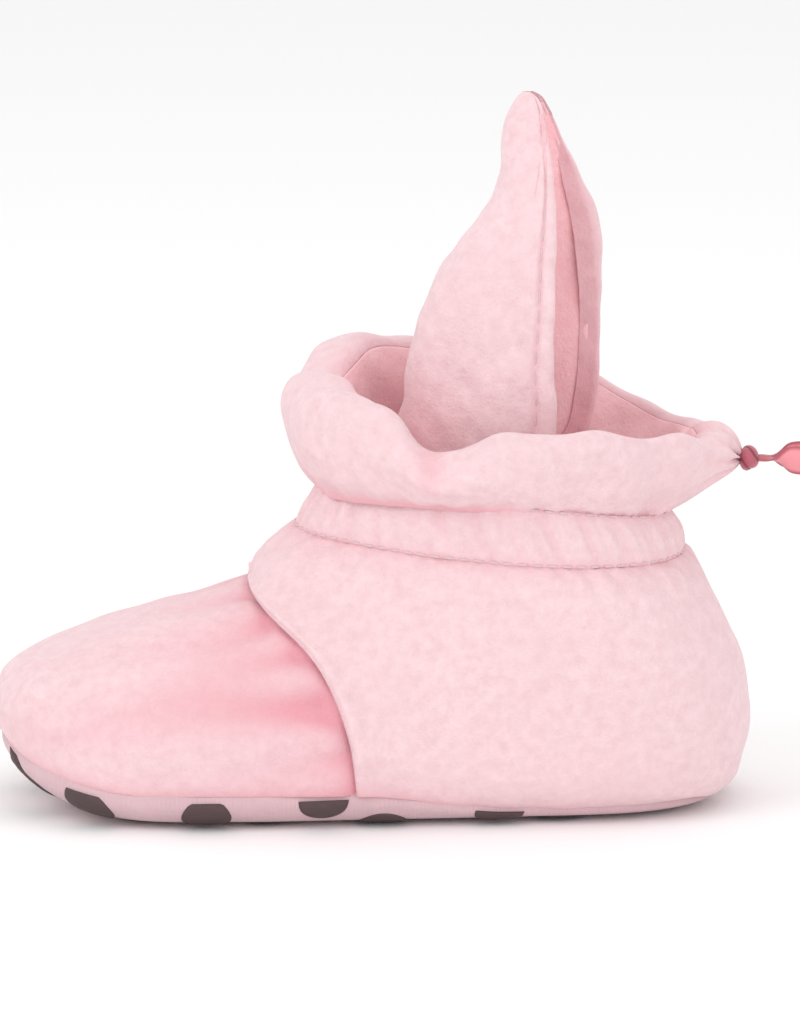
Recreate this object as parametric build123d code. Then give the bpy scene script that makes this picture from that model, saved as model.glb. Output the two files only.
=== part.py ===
from build123d import *
import math
import os

# A baby's soft ankle bootie: a fleece upper over a padded sole with grip dots, an elasticated
# ankle band, a rolled cuff with a ribbon drawstring, and a tall folded tongue.
# Frame: +Z up, the toe towards -X, the heel towards +X. The outer side faces -Y.
# The origin is on the floor, under the middle of the bootie without its ribbon. Millimetres.

# ---- driving dimensions
LENGTH = 118.0  # toe to heel
FLEECE = 1.5  # one layer of fleece
EASE = 0.1  # air between two layers that lie on each other
ELASTIC = 0.8  # thickness of the ankle elastic
ELASTIC_INSET = 0.6  # from the band's two edges
THIN_LINING = 1.1  # the lining behind the elastic
SOLE_FABRIC = 1.3
DOT_HEIGHT = 0.4  # how far a grip dot stands out
DOT_RADIUS = 3.9
DOT_PITCH = 18.2  # along a row of dots
DOT_ROW_GAP = 11.0  # between two rows, which are staggered by half a pitch
DOT_START = 1.7  # x of one dot of the middle row
DOT_ROWS = 2  # on each side of the middle row
DOT_COLUMNS = 4  # ahead of and behind that dot
SMALLEST_DOT = 2.0  # volume of the least sliver of a dot that is printed
FOAM = 3.0  # the midsole's thickness
INSOLE = 1.2
TAPE = 0.6  # seam tape
THROAT_TAPE = (-24.0, 28.0, 35.0)  # its front x, and its lowest and highest z
HEEL_TAPE = (30.0, 8.0, 36.0)  # its front x, and its lowest and highest z
HEEL_TAPE_HALF = 5.0  # half its width
RIBBON_WIDTH = 4.5
RIBBON_THICK = 0.5
TONGUE_LAYER = 1.3
HEM = 2.0  # width of the tongue's bound edge

TOE = -LENGTH / 2
HEEL = LENGTH / 2
FAR = 70.0  # beyond the object on every side
LINING_OUT = FLEECE + EASE
LINING_IN = LINING_OUT + FLEECE
BAND_LINING_OUT = LINING_OUT + ELASTIC + EASE
BAND_LINING_IN = BAND_LINING_OUT + THIN_LINING
FLOOR = DOT_HEIGHT  # height of the outsole's underside

# ---- the upper's outer form: rings from the toe, fanning round the instep, up to the ankle.
# Each ring: its instep point x, z, its sole or heel point x, z, half its width, and how square
# it is above and below its middle (2 is an ellipse).
RINGS = [
    (TOE, 17.5, TOE, 12.5, 6.0, 2.0, 2.0),
    (TOE + 1.2, 20.3, TOE + 1.4, 8.9, 12.5, 2.1, 2.1),
    (TOE + 5.0, 23.2, TOE + 5.5, 5.0, 19.5, 2.2, 2.3),
    (TOE + 12.0, 25.8, TOE + 12.5, 1.8, 24.5, 2.3, 2.7),
    (TOE + 23.0, 29.4, TOE + 23.0, -0.4, 27.3, 2.4, 3.2),
    (TOE + 34.0, 32.6, TOE + 39.0, -0.8, 27.6, 2.4, 3.4),
    (TOE + 40.0, 34.8, TOE + 60.0, -0.8, 26.2, 2.4, 3.4),
    (TOE + 41.5, 38.0, TOE + 84.0, -0.8, 25.0, 2.4, 3.3),
    (TOE + 44.0, 41.6, HEEL - 11.5, -0.4, 24.4, 2.3, 3.0),
    (TOE + 46.6, 44.6, HEEL - 1.4, 6.8, 24.6, 2.2, 2.5),
    (TOE + 48.6, 47.0, HEEL - 0.5, 22.0, 25.0, 2.1, 2.2),
    (TOE + 50.0, 49.6, HEEL - 8.5, 38.0, 24.4, 2.0, 2.1),
    (TOE + 50.2, 52.0, HEEL - 12.7, 47.5, 24.0, 2.0, 2.0),
    (TOE + 50.2, 60.0, HEEL - 12.7, 56.0, 24.0, 2.0, 2.0),
]
RING_ROWS = 34  # rows of points that carry the upper's surface
RING_STEPS = 18  # points round half of a ring
CUFF_ROWS = 16
CUFF_STEPS = 20
TONGUE_ROWS = 20
FRONT_POWER = 2.2  # squareness of the cuff's front half
WIDEST_AT = 0.42  # share of a ring's height at which it is widest
TOE_PLAN = -20.0  # ahead of this x the plan narrows towards the toe

# ---- lines in the side view, as (x, z)
NECK = ((TOE + 50.2, 50.2), (HEEL - 12.7, 45.6))  # top of the ankle band
BAND_FOOT = ((TOE + 47.0, 43.6), (HEEL - 8.0, 38.4))  # bottom of the ankle band
VAMP_SEAM = ((-25.0, 39.0), (-16.9, 32.9), (-8.6, 25.6), (-3.9, 15.5), (-2.2, 3.8), (-2.2, -6.0))
SOLE_SEAM_Z = 3.8  # height of the sole seam, as far forward as
SOLE_SEAM_BEND = -33.0  # this x, from where it curves up to
SOLE_SEAM_TIP = (TOE - 2.0, 11.2)

# ---- cuff: front x, z, back x, z and half width of each ring, from the neck to the rim
CUFF_OUTSIDE = [
    (*NECK[0], *NECK[1], 24.0),
    (-11.6, 54.0, 50.5, 48.0, 26.4),
    (-13.3, 59.5, 55.4, 51.4, 28.6),
    (-13.2, 64.4, 57.4, 54.4, 29.0),
    (-11.0, 67.6, 56.8, 57.0, 27.6),
    (-7.4, 69.0, 54.8, 58.2, 25.4),
]
CUFF_INSIDE = [
    (-5.3, 49.9, 42.8, 45.9, 20.5),
    (-4.9, 56.0, 45.6, 50.0, 20.4),
    (-4.0, 63.0, 48.6, 54.0, 21.4),
    (-4.4, 69.4, 50.6, 58.4, 22.6),
    (-4.6, 74.0, 50.8, 63.0, 22.9),
]
ROUND_BACK = 1.9  # how square each ring is towards the back: inside the cuff,
DRAWN_BACK = 1.45  # outside it, where it is drawn to a point,
CHANNEL_BACK = 1.6  # and in the channel between
CHANNEL_RING = [
    (-8.7, 60.6 - RIBBON_WIDTH / 2, 52.6, 53.6 - RIBBON_WIDTH / 2, 25.2),
    (-8.7, 60.6 + RIBBON_WIDTH / 2, 52.6, 53.6 + RIBBON_WIDTH / 2, 25.2),
]
CHANNEL_END = 34.0  # x at which the ring of ribbon inside the channel stops

# ---- tongue: height, front x and half width of each level
TONGUE_LEVELS = [
    (37.2, -11.4, 9.2),
    (44.0, -5.6, 10.4),
    (50.0, -0.6, 11.2),
    (57.0, 3.2, 11.8),
    (63.0, 5.0, 12.2),
    (70.0, 5.8, 12.2),
    (78.0, 7.9, 11.8),
    (86.0, 11.5, 11.0),
    (93.0, 16.6, 9.4),
    (98.0, 19.6, 8.0),
    (105.0, 21.0, 6.0),
    (110.6, 22.8, 4.2),
    (112.4, 24.6, 2.9),
]
THINNEST = 0.9  # the least half width inside the tongue's tip
TONGUE_FOLD = 13.0  # how far behind its front the folded tongue's walls run straight
NEAR_HEM = ((-8.6, 36.0), (1.0, 43.0), (20.0, 58.0), (28.6, 68.0), (28.9, 85.0), (28.9, 104.0),
            (26.6, 112.0), (25.6, 114.0))
FAR_HEM = ((-8.6, 36.0), (4.0, 43.0), (25.0, 55.0), (35.4, 66.0), (36.0, 76.0), (34.6, 91.0),
           (30.0, 105.0), (27.2, 112.0), (26.2, 114.0))
HINGE = (-11.4, 36.0)  # x, z of the line along which the tongue is sewn
HINGE_ROLL = 1.3  # radius of the rolled seam on that line
HINGE_LENGTH = 14.0

# ---- drawstring
EXIT_Z = 54.4  # height at which it leaves the cuff's back
STRAND_GAP = 0.5  # between its two strands
SLOT_ROOM = 0.9  # how much larger than the strands the slot in the cuff is
STRAND = (51.6, HEEL - 0.4)  # x where each strand starts and where it meets the knot
KNOT_X = HEEL + 0.6
KNOT = (1.7, 2.0, 1.9)  # half sizes along x, y, z
LOOP = [(60.9, 0.5), (65.0, 1.2), (71.0, 4.4), (76.5, 6.2), (81.5, 2.6)]  # half of it, x and y


def blend_rows(rows, count):
    """Rows of numbers on a smooth curve through the given rows, as cubic Hermite pieces."""
    knots = [0.0]
    for a, b in zip(rows, rows[1:]):
        knots.append(knots[-1] + math.sqrt(math.dist(a[:4], b[:4]) + 0.3))
    slopes = []
    for k in range(len(rows)):
        a, b = max(k - 1, 0), min(k + 1, len(rows) - 1)
        slopes.append([(q - p) / (knots[b] - knots[a]) for p, q in zip(rows[a], rows[b])])
    result = []
    for step in range(count):
        t = knots[-1] * step / count
        i = max(k for k in range(len(rows) - 1) if knots[k] <= t)
        span = knots[i + 1] - knots[i]
        u = (t - knots[i]) / span
        weights = (2 * u**3 - 3 * u**2 + 1, 3 * u**2 - 2 * u**3)
        pulls = (span * (u**3 - 2 * u**2 + u), span * (u**3 - u**2))
        values = zip(rows[i], rows[i + 1], slopes[i], slopes[i + 1])
        result.append(
            [weights[0] * p + weights[1] * q + pulls[0] * m + pulls[1] * n for p, q, m, n in values]
        )
    return result + [list(rows[-1])]


def half_ellipse(steps, power, low_power):
    """Sine and cosine pairs of a half superellipse, from (0, -1) over (1, 0) to (0, 1). It is as
    square as low_power below the middle, and as power above it."""
    pairs = [(0.0, -1.0)]
    for k in range(1, steps):
        angle = math.pi * (k / steps - 0.5)
        side, along = math.cos(angle), math.sin(angle)
        bend = 2 / (power if along > 0 else low_power)
        pairs.append((side**bend, math.copysign(abs(along) ** bend, along)))
    return pairs + [(0.0, 1.0)]


def symmetric_solid(grid):
    """The solid between a grid of half rings, which start and end at y = 0, and its mirror image."""
    side = Face.make_surface_from_array_of_points(grid, tol=0.02, min_deg=3, max_deg=3)
    caps = [
        Face(Wire([edge, edge.mirror(Plane.XZ)]))
        for edge in side.edges()
        if edge.bounding_box().max.Y > 0.1
    ]
    solid = Solid(Shell([side, side.mirror(Plane.XZ), *caps]))
    return solid.fix()


def normal_at(rows, i, column, turn):
    """The unit normal of a line of (x, z) in two columns of the rows, turned to one side."""
    a, b = rows[max(i - 1, 0)], rows[min(i + 1, len(rows) - 1)]
    dx, dz = b[column] - a[column], b[column + 1] - a[column + 1]
    size = math.hypot(dx, dz)
    return turn * dz / size, -turn * dx / size


def form(depth, floor=None):
    """Everything inside the upper's outer surface, taken in by depth all round, above a floor."""
    floor = FLOOR + depth if floor is None else floor
    rows = blend_rows(RINGS, RING_ROWS)
    grid = []
    for i, (top_x, top_z, low_x, low_z, half, *powers) in enumerate(rows):
        top_n, low_n = normal_at(rows, i, 0, 1), normal_at(rows, i, 2, -1)
        a, b = rows[max(i - 1, 0)], rows[min(i + 1, len(rows) - 1)]
        along = (b[0] + b[2] - a[0] - a[2]) / 2
        taper = abs(along) / math.hypot(along, b[4] - a[4]) if top_x < TOE_PLAN else 1.0
        if i == 0:
            top_n, low_n, taper = (1, 0), (1, 0), 0.3
        top = (top_x + depth * top_n[0], top_z + depth * top_n[1])
        low = (low_x + depth * low_n[0], low_z + depth * low_n[1])
        half -= depth * taper
        mid = [p + WIDEST_AT * (q - p) for p, q in zip(low, top)]
        ring = []
        for side, along in half_ellipse(RING_STEPS, *powers):
            end = top if along > 0 else low
            x, z = (p + abs(along) * (q - p) for p, q in zip(mid, end))
            ring.append((x, half * side, z))
        grid.append(ring)
    return symmetric_solid(grid) - block(-FAR, FAR, -FAR, FAR, -FAR, floor)


def cuff_form(table, depth, drop, back_power):
    """Everything inside the cuff's rings, taken in by depth, with the last ring lowered by drop."""
    rows = blend_rows(table, CUFF_ROWS)
    grid = []
    for i, (front_x, front_z, back_x, back_z, half) in enumerate(rows):
        down = drop * i / (len(rows) - 1)
        fall = depth * (back_z - front_z) / (back_x - front_x)
        front = (front_x + depth, front_z + fall - down)
        back = (back_x - depth, back_z - fall - down)
        mid = [(p + q) / 2 for p, q in zip(front, back)]
        ring = []
        front_shape = half_ellipse(CUFF_STEPS, FRONT_POWER, FRONT_POWER)
        shapes = zip(front_shape, half_ellipse(CUFF_STEPS, back_power, back_power))
        for (side, along), (back_side, back_along) in shapes:
            end, share, reach = (front, -along, side) if along < 0 else (back, back_along, back_side)
            x, z = (p + share * (q - p) for p, q in zip(mid, end))
            ring.append((x, (half - depth) * reach, z))
        grid.append(ring)
    return symmetric_solid(grid)


def tongue_form(depth):
    """Everything ahead of the tongue's back, taken in by depth; its walls run on to x = FAR."""
    grid = []
    for z, front, half in blend_rows(TONGUE_LEVELS, TONGUE_ROWS):
        front, half = front + depth, max(half - depth, THINNEST)
        straight = front + TONGUE_FOLD
        ring = []
        for k in range(9):
            angle = math.pi / 2 * k / 8
            ring.append((straight - TONGUE_FOLD * math.cos(angle), half * math.sin(angle), z))
        ring += [(straight + (FAR - straight) * k / 6, half, z) for k in range(1, 7)]
        for k in (1, 2):
            angle = math.pi / 2 * k / 3
            ring.append((FAR + 3 * math.sin(angle), half * math.cos(angle), z))
        ring.append((FAR + 3, 0.0, z))
        grid.append(ring)
    return symmetric_solid(grid) - block(-FAR, 2 * FAR, -FAR, FAR, TONGUE_LEVELS[-1][0] - depth, 2 * FAR)


def block(x0, x1, y0, y1, z0, z1):
    return Pos((x0 + x1) / 2, (y0 + y1) / 2, (z0 + z1) / 2) * Box(x1 - x0, y1 - y0, z1 - z0)


def across(edges, y0=-FAR, y1=FAR):
    """The block over a closed outline in the side view, from one y to another."""
    return extrude(Pos(0, y0, 0) * Face(Wire(edges)), amount=y1 - y0, dir=(0, 1, 0))


def side_points(points):
    return [(x, 0, z) for x, z in points]


def run_on(line, x):
    """The height at x of the straight line through two (x, z) points."""
    (x0, z0), (x1, z1) = line
    return z0 + (z1 - z0) * (x - x0) / (x1 - x0)


def above(line):
    """The half space above a straight line in the side view."""
    foot = [(x, run_on(line, x)) for x in (-FAR, FAR)]
    corners = side_points([*foot, (FAR, 2 * FAR), (-FAR, 2 * FAR)])
    return across(Polyline(*corners, close=True).edges())


def below_sole_seam():
    bend, tip = (SOLE_SEAM_BEND, 0, SOLE_SEAM_Z), (SOLE_SEAM_TIP[0], 0, SOLE_SEAM_TIP[1])
    rise = TangentArc(bend, tip, tangent=(-1, 0, 0))
    rest = Polyline(tip, (tip[0], 0, -FAR), (FAR, 0, -FAR), (FAR, 0, SOLE_SEAM_Z), bend)
    return across([*rise.edges(), *rest.edges()])


def ahead_of_vamp_seam():
    seam = Spline(*side_points(VAMP_SEAM))
    start, end = side_points((VAMP_SEAM[0], VAMP_SEAM[-1]))
    rest = Polyline(end, (-FAR, 0, end[2]), (-FAR, 0, start[2]), start)
    return across([*seam.edges(), *rest.edges()])


def ahead_of_hem(points, shift, y0, y1):
    """The block ahead of a hem line, moved forward by shift, on one side of the tongue."""
    moved = side_points([(x - shift, z) for x, z in points])
    hem = Spline(*moved)
    rest = Polyline(moved[-1], (-FAR, 0, moved[-1][2]), (-FAR, 0, moved[0][2]), moved[0])
    return across([*hem.edges(), *rest.edges()], y0, y1)


def make_upper(parts):
    """The fleece panels, their linings, the ankle band and its elastic."""
    sole, vamp_side = below_sole_seam(), ahead_of_vamp_seam()
    band_top, band_foot = above(NECK), above(BAND_FOOT)
    layers = {
        "": form(0) - form(FLEECE),
        "_lining": form(LINING_OUT) - form(LINING_IN),
    }
    for suffix, layer in layers.items():
        body = layer - sole - band_foot
        parts[f"vamp{suffix}"] = body & vamp_side
        quarters = body - vamp_side
        parts[f"quarter{suffix}_left"] = quarters - block(-FAR, FAR, 0, FAR, -FAR, FAR)
        parts[f"quarter{suffix}_right"] = quarters - block(-FAR, FAR, -FAR, 0, -FAR, FAR)
    band = (layers[""] & band_foot) - band_top
    parts["ankle_band"] = band
    elastic = form(LINING_OUT) - form(LINING_OUT + ELASTIC)
    inset = [[(x, z + dz) for x, z in line] for line, dz in ((NECK, -ELASTIC_INSET), (BAND_FOOT, ELASTIC_INSET))]
    parts["ankle_elastic"] = (elastic - above(inset[0])) & above(inset[1])
    band_lining = form(BAND_LINING_OUT) - form(BAND_LINING_IN)
    parts["band_lining"] = (band_lining & band_foot) - band_top


def make_sole(parts):
    """The wrapped outsole with its dots, the foam and the insole."""
    seam = below_sole_seam()
    outside = form(0)
    parts["outsole"] = (outside - form(SOLE_FABRIC)) & seam
    foam_in = SOLE_FABRIC + EASE + FOAM
    foam = (form(SOLE_FABRIC + EASE) & seam) + (
        form(LINING_IN + EASE) - block(-FAR, FAR, -FAR, FAR, FLOOR + foam_in, FAR)
    )
    parts["midsole_foam"] = foam - form(foam_in)
    insole_out = foam_in + EASE
    top = FLOOR + insole_out + INSOLE
    parts["insole"] = form(insole_out) - block(-FAR, FAR, -FAR, FAR, top, FAR)
    skin = (form(-DOT_HEIGHT) - outside) & seam
    dots = []
    for row in range(-DOT_ROWS, DOT_ROWS + 1):
        for k in range(-DOT_COLUMNS, DOT_COLUMNS):
            x, y = (k + 0.5 * (row % 2)) * DOT_PITCH + DOT_START, row * DOT_ROW_GAP
            dot = skin & (Pos(x, y, 0) * Cylinder(DOT_RADIUS, 4 * SOLE_SEAM_Z))
            if dot is not None:
                dots += [s for s in dot.solids() if s.volume > SMALLEST_DOT]
    parts["grip_dots"] = Compound(children=dots)


def make_cuff(parts):
    """The rolled cuff, hollow all round, and the ribbon that runs inside it."""
    inside = cuff_form(CUFF_INSIDE, 0, 0, ROUND_BACK)
    outside = cuff_form(CUFF_OUTSIDE, 0, 0, DRAWN_BACK)
    hollow = cuff_form(CUFF_OUTSIDE, FLEECE, FLEECE, DRAWN_BACK)
    slot_high = RIBBON_WIDTH + SLOT_ROOM
    slot_wide = 2 * RIBBON_THICK + STRAND_GAP + SLOT_ROOM
    slot = Pos(HEEL, 0, EXIT_Z) * Box(20, slot_wide, slot_high)
    parts["cuff_outer"] = outside - hollow - inside - slot
    facing = cuff_form(CUFF_INSIDE, -FLEECE, 0, ROUND_BACK) - inside
    room = cuff_form(CUFF_OUTSIDE, FLEECE + EASE, FLEECE + EASE, DRAWN_BACK)
    parts["cuff_facing"] = facing & room
    ring = cuff_form(CHANNEL_RING, 0, 0, CHANNEL_BACK)
    ring -= cuff_form(CHANNEL_RING, RIBBON_THICK, 0, CHANNEL_BACK)
    parts["channel_ribbon"] = ring - block(CHANNEL_END, FAR, -FAR, FAR, 0, FAR)


def make_tongue(parts):
    """Two layers folded lengthwise, bound along the free edge and rolled at the sewn edge."""
    layer_in = TONGUE_LAYER + EASE
    steps = [tongue_form(d) for d in (0, TONGUE_LAYER, layer_in, layer_in + TONGUE_LAYER)]
    hems = []
    for shift in (HEM + EASE, HEM, 0):
        near = ahead_of_hem(NEAR_HEM, shift, -FAR, 0)
        hems.append(near + ahead_of_hem(FAR_HEM, shift, 0, FAR))
    roll = Pos(HINGE[0], 0, HINGE[1]) * Rot(90, 0, 0) * Cylinder(HINGE_ROLL, HINGE_LENGTH)
    parts["tongue_outer"] = ((steps[0] - steps[1]) & hems[0]) - roll
    parts["tongue_inner"] = ((steps[2] - steps[3]) & hems[0]) - roll
    parts["tongue_binding"] = ((steps[0] - steps[3]) & hems[2]) - hems[1] - roll
    parts["tongue_seam_roll"] = roll


def make_tapes(parts):
    """The throat tape below the tongue and the tape over the heel seam inside."""
    strip = form(LINING_IN + EASE) - form(LINING_IN + EASE + TAPE)
    front, *heights = THROAT_TAPE
    parts["throat_tape"] = strip & block(front, HINGE[0], -HINGE_LENGTH / 2, HINGE_LENGTH / 2, *heights)
    front, *heights = HEEL_TAPE
    parts["heel_tape"] = strip & block(front, FAR, -HEEL_TAPE_HALF, HEEL_TAPE_HALF, *heights)


def make_ribbon(parts):
    """The two strands at the cuff's back, their knot, and the loop beyond it."""
    knot = Pos(KNOT_X, 0, EXIT_Z) * scale(Sphere(1), by=KNOT)
    offset = (STRAND_GAP + RIBBON_THICK) / 2
    half_high = RIBBON_WIDTH / 2
    strands = [
        block(*STRAND, y - RIBBON_THICK / 2, y + RIBBON_THICK / 2, EXIT_Z - half_high, EXIT_Z + half_high)
        - knot
        for y in (-offset, offset)
    ]
    parts["ribbon_strands"] = Compound(children=strands)
    parts["ribbon_knot"] = knot
    half = [Vector(x, y, EXIT_Z) for x, y in LOOP]
    route = half + [Vector(p.X, -p.Y, p.Z) for p in reversed(half)]
    radii = []
    for a, b, c in zip(route, route[1:], route[2:]):
        turn = math.radians((b - a).get_angle(c - b))
        radii.append(0.45 * min((b - a).length, (c - b).length) / math.tan(turn / 2))
    path = FilletPolyline(*route, radius=radii)
    start = Plane(origin=path @ 0, z_dir=path % 0, x_dir=(0, 0, 1))
    section = start * Rectangle(RIBBON_WIDTH, RIBBON_THICK)
    loop = sweep(section, path=path)
    parts["ribbon_loop"] = loop - knot
    print("ribbon radii", [round(r, 1) for r in radii], "length", round(path.length, 1))
    print("ribbon volume", round(loop.volume, 1), "of", round(path.length * section.area, 1))


def main():
    os.makedirs("parts", exist_ok=True)
    parts = {}
    for make in (make_upper, make_sole, make_cuff, make_tongue, make_tapes, make_ribbon):
        make(parts)
    for name, shape in parts.items():
        shape.label = name
        export_step(shape, f"parts/{name}.step")


main()
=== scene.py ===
"""A baby's soft fleece bootie, built round its CAD frame. Lengths are in metres, +Z is up and the
toe points to -X."""

import contextlib
import math

import bmesh
import bpy
import numpy as np
from bpy.props import FloatProperty, FloatVectorProperty, IntProperty, PointerProperty
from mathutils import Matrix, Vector


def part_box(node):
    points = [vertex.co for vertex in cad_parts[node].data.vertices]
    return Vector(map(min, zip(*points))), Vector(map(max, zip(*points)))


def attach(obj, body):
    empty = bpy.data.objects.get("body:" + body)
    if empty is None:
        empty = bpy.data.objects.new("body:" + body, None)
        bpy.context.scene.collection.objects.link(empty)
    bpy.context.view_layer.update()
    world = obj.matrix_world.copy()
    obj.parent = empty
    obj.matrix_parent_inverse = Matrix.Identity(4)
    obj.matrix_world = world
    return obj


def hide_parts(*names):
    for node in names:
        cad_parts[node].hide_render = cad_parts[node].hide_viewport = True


bl_info = {
    "name": "Baby Bootie Maker",
    "version": (1, 0, 0),
    "blender": (4, 5, 0),
    "location": "View3D > Sidebar > Bootie",
    "description": "Builds a soft fleece bootie with a drawn cuff and a folded tongue",
    "category": "Add Mesh",
}

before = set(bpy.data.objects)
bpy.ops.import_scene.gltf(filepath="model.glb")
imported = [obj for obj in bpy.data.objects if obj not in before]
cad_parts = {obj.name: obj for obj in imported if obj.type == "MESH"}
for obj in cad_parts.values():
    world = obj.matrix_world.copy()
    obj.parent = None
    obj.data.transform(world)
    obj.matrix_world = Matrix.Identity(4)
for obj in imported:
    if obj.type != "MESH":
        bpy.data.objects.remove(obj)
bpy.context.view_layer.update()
MM = 0.001
TURN = 2 * math.pi
WELD = 0.001 * MM

# ---- places from the frame
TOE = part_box("vamp")[0].x
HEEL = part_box("quarter_left")[1].x - 0.2 * MM
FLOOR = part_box("outsole")[0].z
KNOT_LOW, KNOT_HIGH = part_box("ribbon_knot")
EXIT = Vector((KNOT_HIGH.x - 0.4 * MM, 0.0, (KNOT_LOW.z + KNOT_HIGH.z) / 2))

# ---- the upper's form: rings from the toe, fanning round the instep, up to the ankle.
# Each ring: instep point x, z, sole or heel point x, z, half width, and squareness above and below
# (2 is an ellipse).
RINGS = np.array(
    [
        (TOE - 0.3 * MM, 0.0152, TOE - 0.3 * MM, 0.0148, 0.0, 2.0, 2.0),
        (TOE + 0.1 * MM, 0.0176, TOE + 0.1 * MM, 0.0124, 0.0062, 2.0, 2.2),
        (TOE + 1.2 * MM, 0.0203, TOE + 1.4 * MM, 0.0089, 0.0125, 2.1, 2.6),
        (TOE + 5.0 * MM, 0.0232, TOE + 5.5 * MM, 0.0050, 0.0195, 2.2, 3.6),
        (TOE + 12.0 * MM, 0.0258, TOE + 12.5 * MM, 0.0018, 0.0245, 2.3, 4.6),
        (TOE + 23.0 * MM, 0.0294, TOE + 23.0 * MM, -0.0004, 0.0273, 2.4, 5.2),
        (TOE + 34.0 * MM, 0.0326, TOE + 39.0 * MM, -0.0008, 0.0276, 2.4, 5.2),
        (TOE + 40.0 * MM, 0.0348, TOE + 60.0 * MM, -0.0008, 0.0262, 2.4, 5.0),
        (TOE + 41.5 * MM, 0.0380, TOE + 84.0 * MM, -0.0008, 0.0250, 2.4, 4.4),
        (TOE + 44.0 * MM, 0.0416, HEEL - 10.5 * MM, -0.0004, 0.0244, 2.3, 3.0),
        (TOE + 46.6 * MM, 0.0446, HEEL - 1.3 * MM, 0.0062, 0.0246, 2.2, 2.4),
        (TOE + 48.6 * MM, 0.0470, HEEL - 0.5 * MM, 0.0220, 0.0250, 2.1, 2.2),
        (TOE + 50.0 * MM, 0.0496, HEEL - 8.5 * MM, 0.0380, 0.0244, 2.0, 2.0),
        (TOE + 50.2 * MM, 0.0520, HEEL - 12.7 * MM, 0.0475, 0.0240, 2.0, 2.0),
        (TOE + 50.2 * MM, 0.0600, HEEL - 12.7 * MM, 0.0560, 0.0240, 2.0, 2.0),
    ]
)
WIDEST_AT = 0.42  # share of a ring's height at which it is widest

# ---- lines in the side view, as (x, z)
NECK_LINE = ((TOE + 50.2 * MM, 0.0506), (HEEL - 12.7 * MM, 0.0466))
NECK_BOW = 2.2 * MM  # how far the line bows up at its middle
BAND_LINE = ((TOE + 47.0 * MM, 0.0444), (HEEL - 8.0 * MM, 0.0404))
BAND_BOW = -0.6 * MM
VAMP_SEAM = np.array(
    [
        (-0.0250, 0.0390), (-0.0169, 0.0329), (-0.0086, 0.0256), (-0.0039, 0.0155),
        (-0.0022, 0.0038), (-0.0022, -0.0060),
    ]
)
VAMP_UNDERLAP = 2.6 * MM  # how far the vamp runs on under the quarters
SOLE_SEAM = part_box("vamp")[0].z + 1.8 * MM  # height of the sole seam along the vamp
SOLE_DROP = 3.3 * MM  # by how much it is lower under the heel
SOLE_DROP_FROM, SOLE_DROP_TO = -2 * MM, 22 * MM  # it comes down between these x
SOLE_BEND = -0.0330  # ahead of this x it curves up towards the toe
SOLE_CURVE = 0.0567  # with this radius
DOTS_FROM = 1.7 * MM  # x of a dot in the middle row
DOT_ROW_GAP = 8.8 * MM  # from row to row round the sole
DOTS_ASKEW = 0.13  # how much the rows slant

# ---- the cuff: front x, z, back x, z, half width and squareness at the back, from the outside of
# the neck over the rim to the inside of the neck
CUFF_RINGS = np.array(
    [
        (-0.0082, 0.0494, 0.0457, 0.0448, 0.0234, 2.00),
        (-0.0092, 0.0510, 0.0470, 0.0461, 0.0243, 1.90),
        (-0.0116, 0.0540, 0.0505, 0.0484, 0.0264, 1.60),
        (-0.0133, 0.0592, 0.0552, 0.0514, 0.0286, 1.45),
        (-0.0134, 0.0642, 0.0578, 0.0542, 0.0291, 1.42),
        (-0.0114, 0.0680, 0.0572, 0.0572, 0.0280, 1.50),
        (-0.0078, 0.0694, 0.0546, 0.0590, 0.0256, 1.60),
        (-0.0045, 0.0678, 0.0515, 0.0584, 0.0230, 1.75),
        (-0.0036, 0.0625, 0.0485, 0.0545, 0.0212, 1.90),
        (-0.0044, 0.0560, 0.0456, 0.0500, 0.0202, 1.90),
        (-0.0050, 0.0495, 0.0425, 0.0455, 0.0202, 2.00),
    ]
)

FACING_FROM = 0.66  # share of the way over the rim at which the outside gives way to the facing

# ---- the tongue: height, front x, half width, near hem x, far hem x
TONGUE_ROWS = np.array(
    [
        (0.0378, -0.0112, 0.0092, -0.0050, -0.0050),
        (0.0440, -0.0056, 0.0104, 0.0110, 0.0130),
        (0.0500, -0.0006, 0.0112, 0.0225, 0.0260),
        (0.0570, 0.0032, 0.0118, 0.0278, 0.0335),
        (0.0630, 0.0050, 0.0122, 0.0288, 0.0352),
        (0.0700, 0.0060, 0.0122, 0.0285, 0.0358),
        (0.0780, 0.0080, 0.0118, 0.0289, 0.0359),
        (0.0860, 0.0116, 0.0110, 0.0289, 0.0352),
        (0.0930, 0.0166, 0.0096, 0.0290, 0.0341),
        (0.0980, 0.0194, 0.0082, 0.0289, 0.0324),
        (0.1040, 0.0204, 0.0064, 0.0284, 0.0302),
        (0.1085, 0.0212, 0.0046, 0.0276, 0.0284),
        (0.1112, 0.0224, 0.0026, 0.0264, 0.0268),
        (0.1124, 0.0236, 0.0006, 0.0250, 0.0252),
    ]
)

TONGUE_COLUMNS = [1, 0, 3, 4, 2, 0]  # the rows put in the order that fold_line reads
HEM_STITCHES_AT = 0.036  # share of the way round from a hem
HEM_TURN = 0.11  # length of the turned hem, and of the strip past it, in the same measure

# ---- the ribbon's route from the knot to the far end of its loop, as x and y
RIBBON_ROUTE = [
    (0.0609, 0.0005), (0.0650, 0.0012), (0.0710, 0.0044), (0.0765, 0.0062), (0.0815, 0.0026),
]

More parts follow.
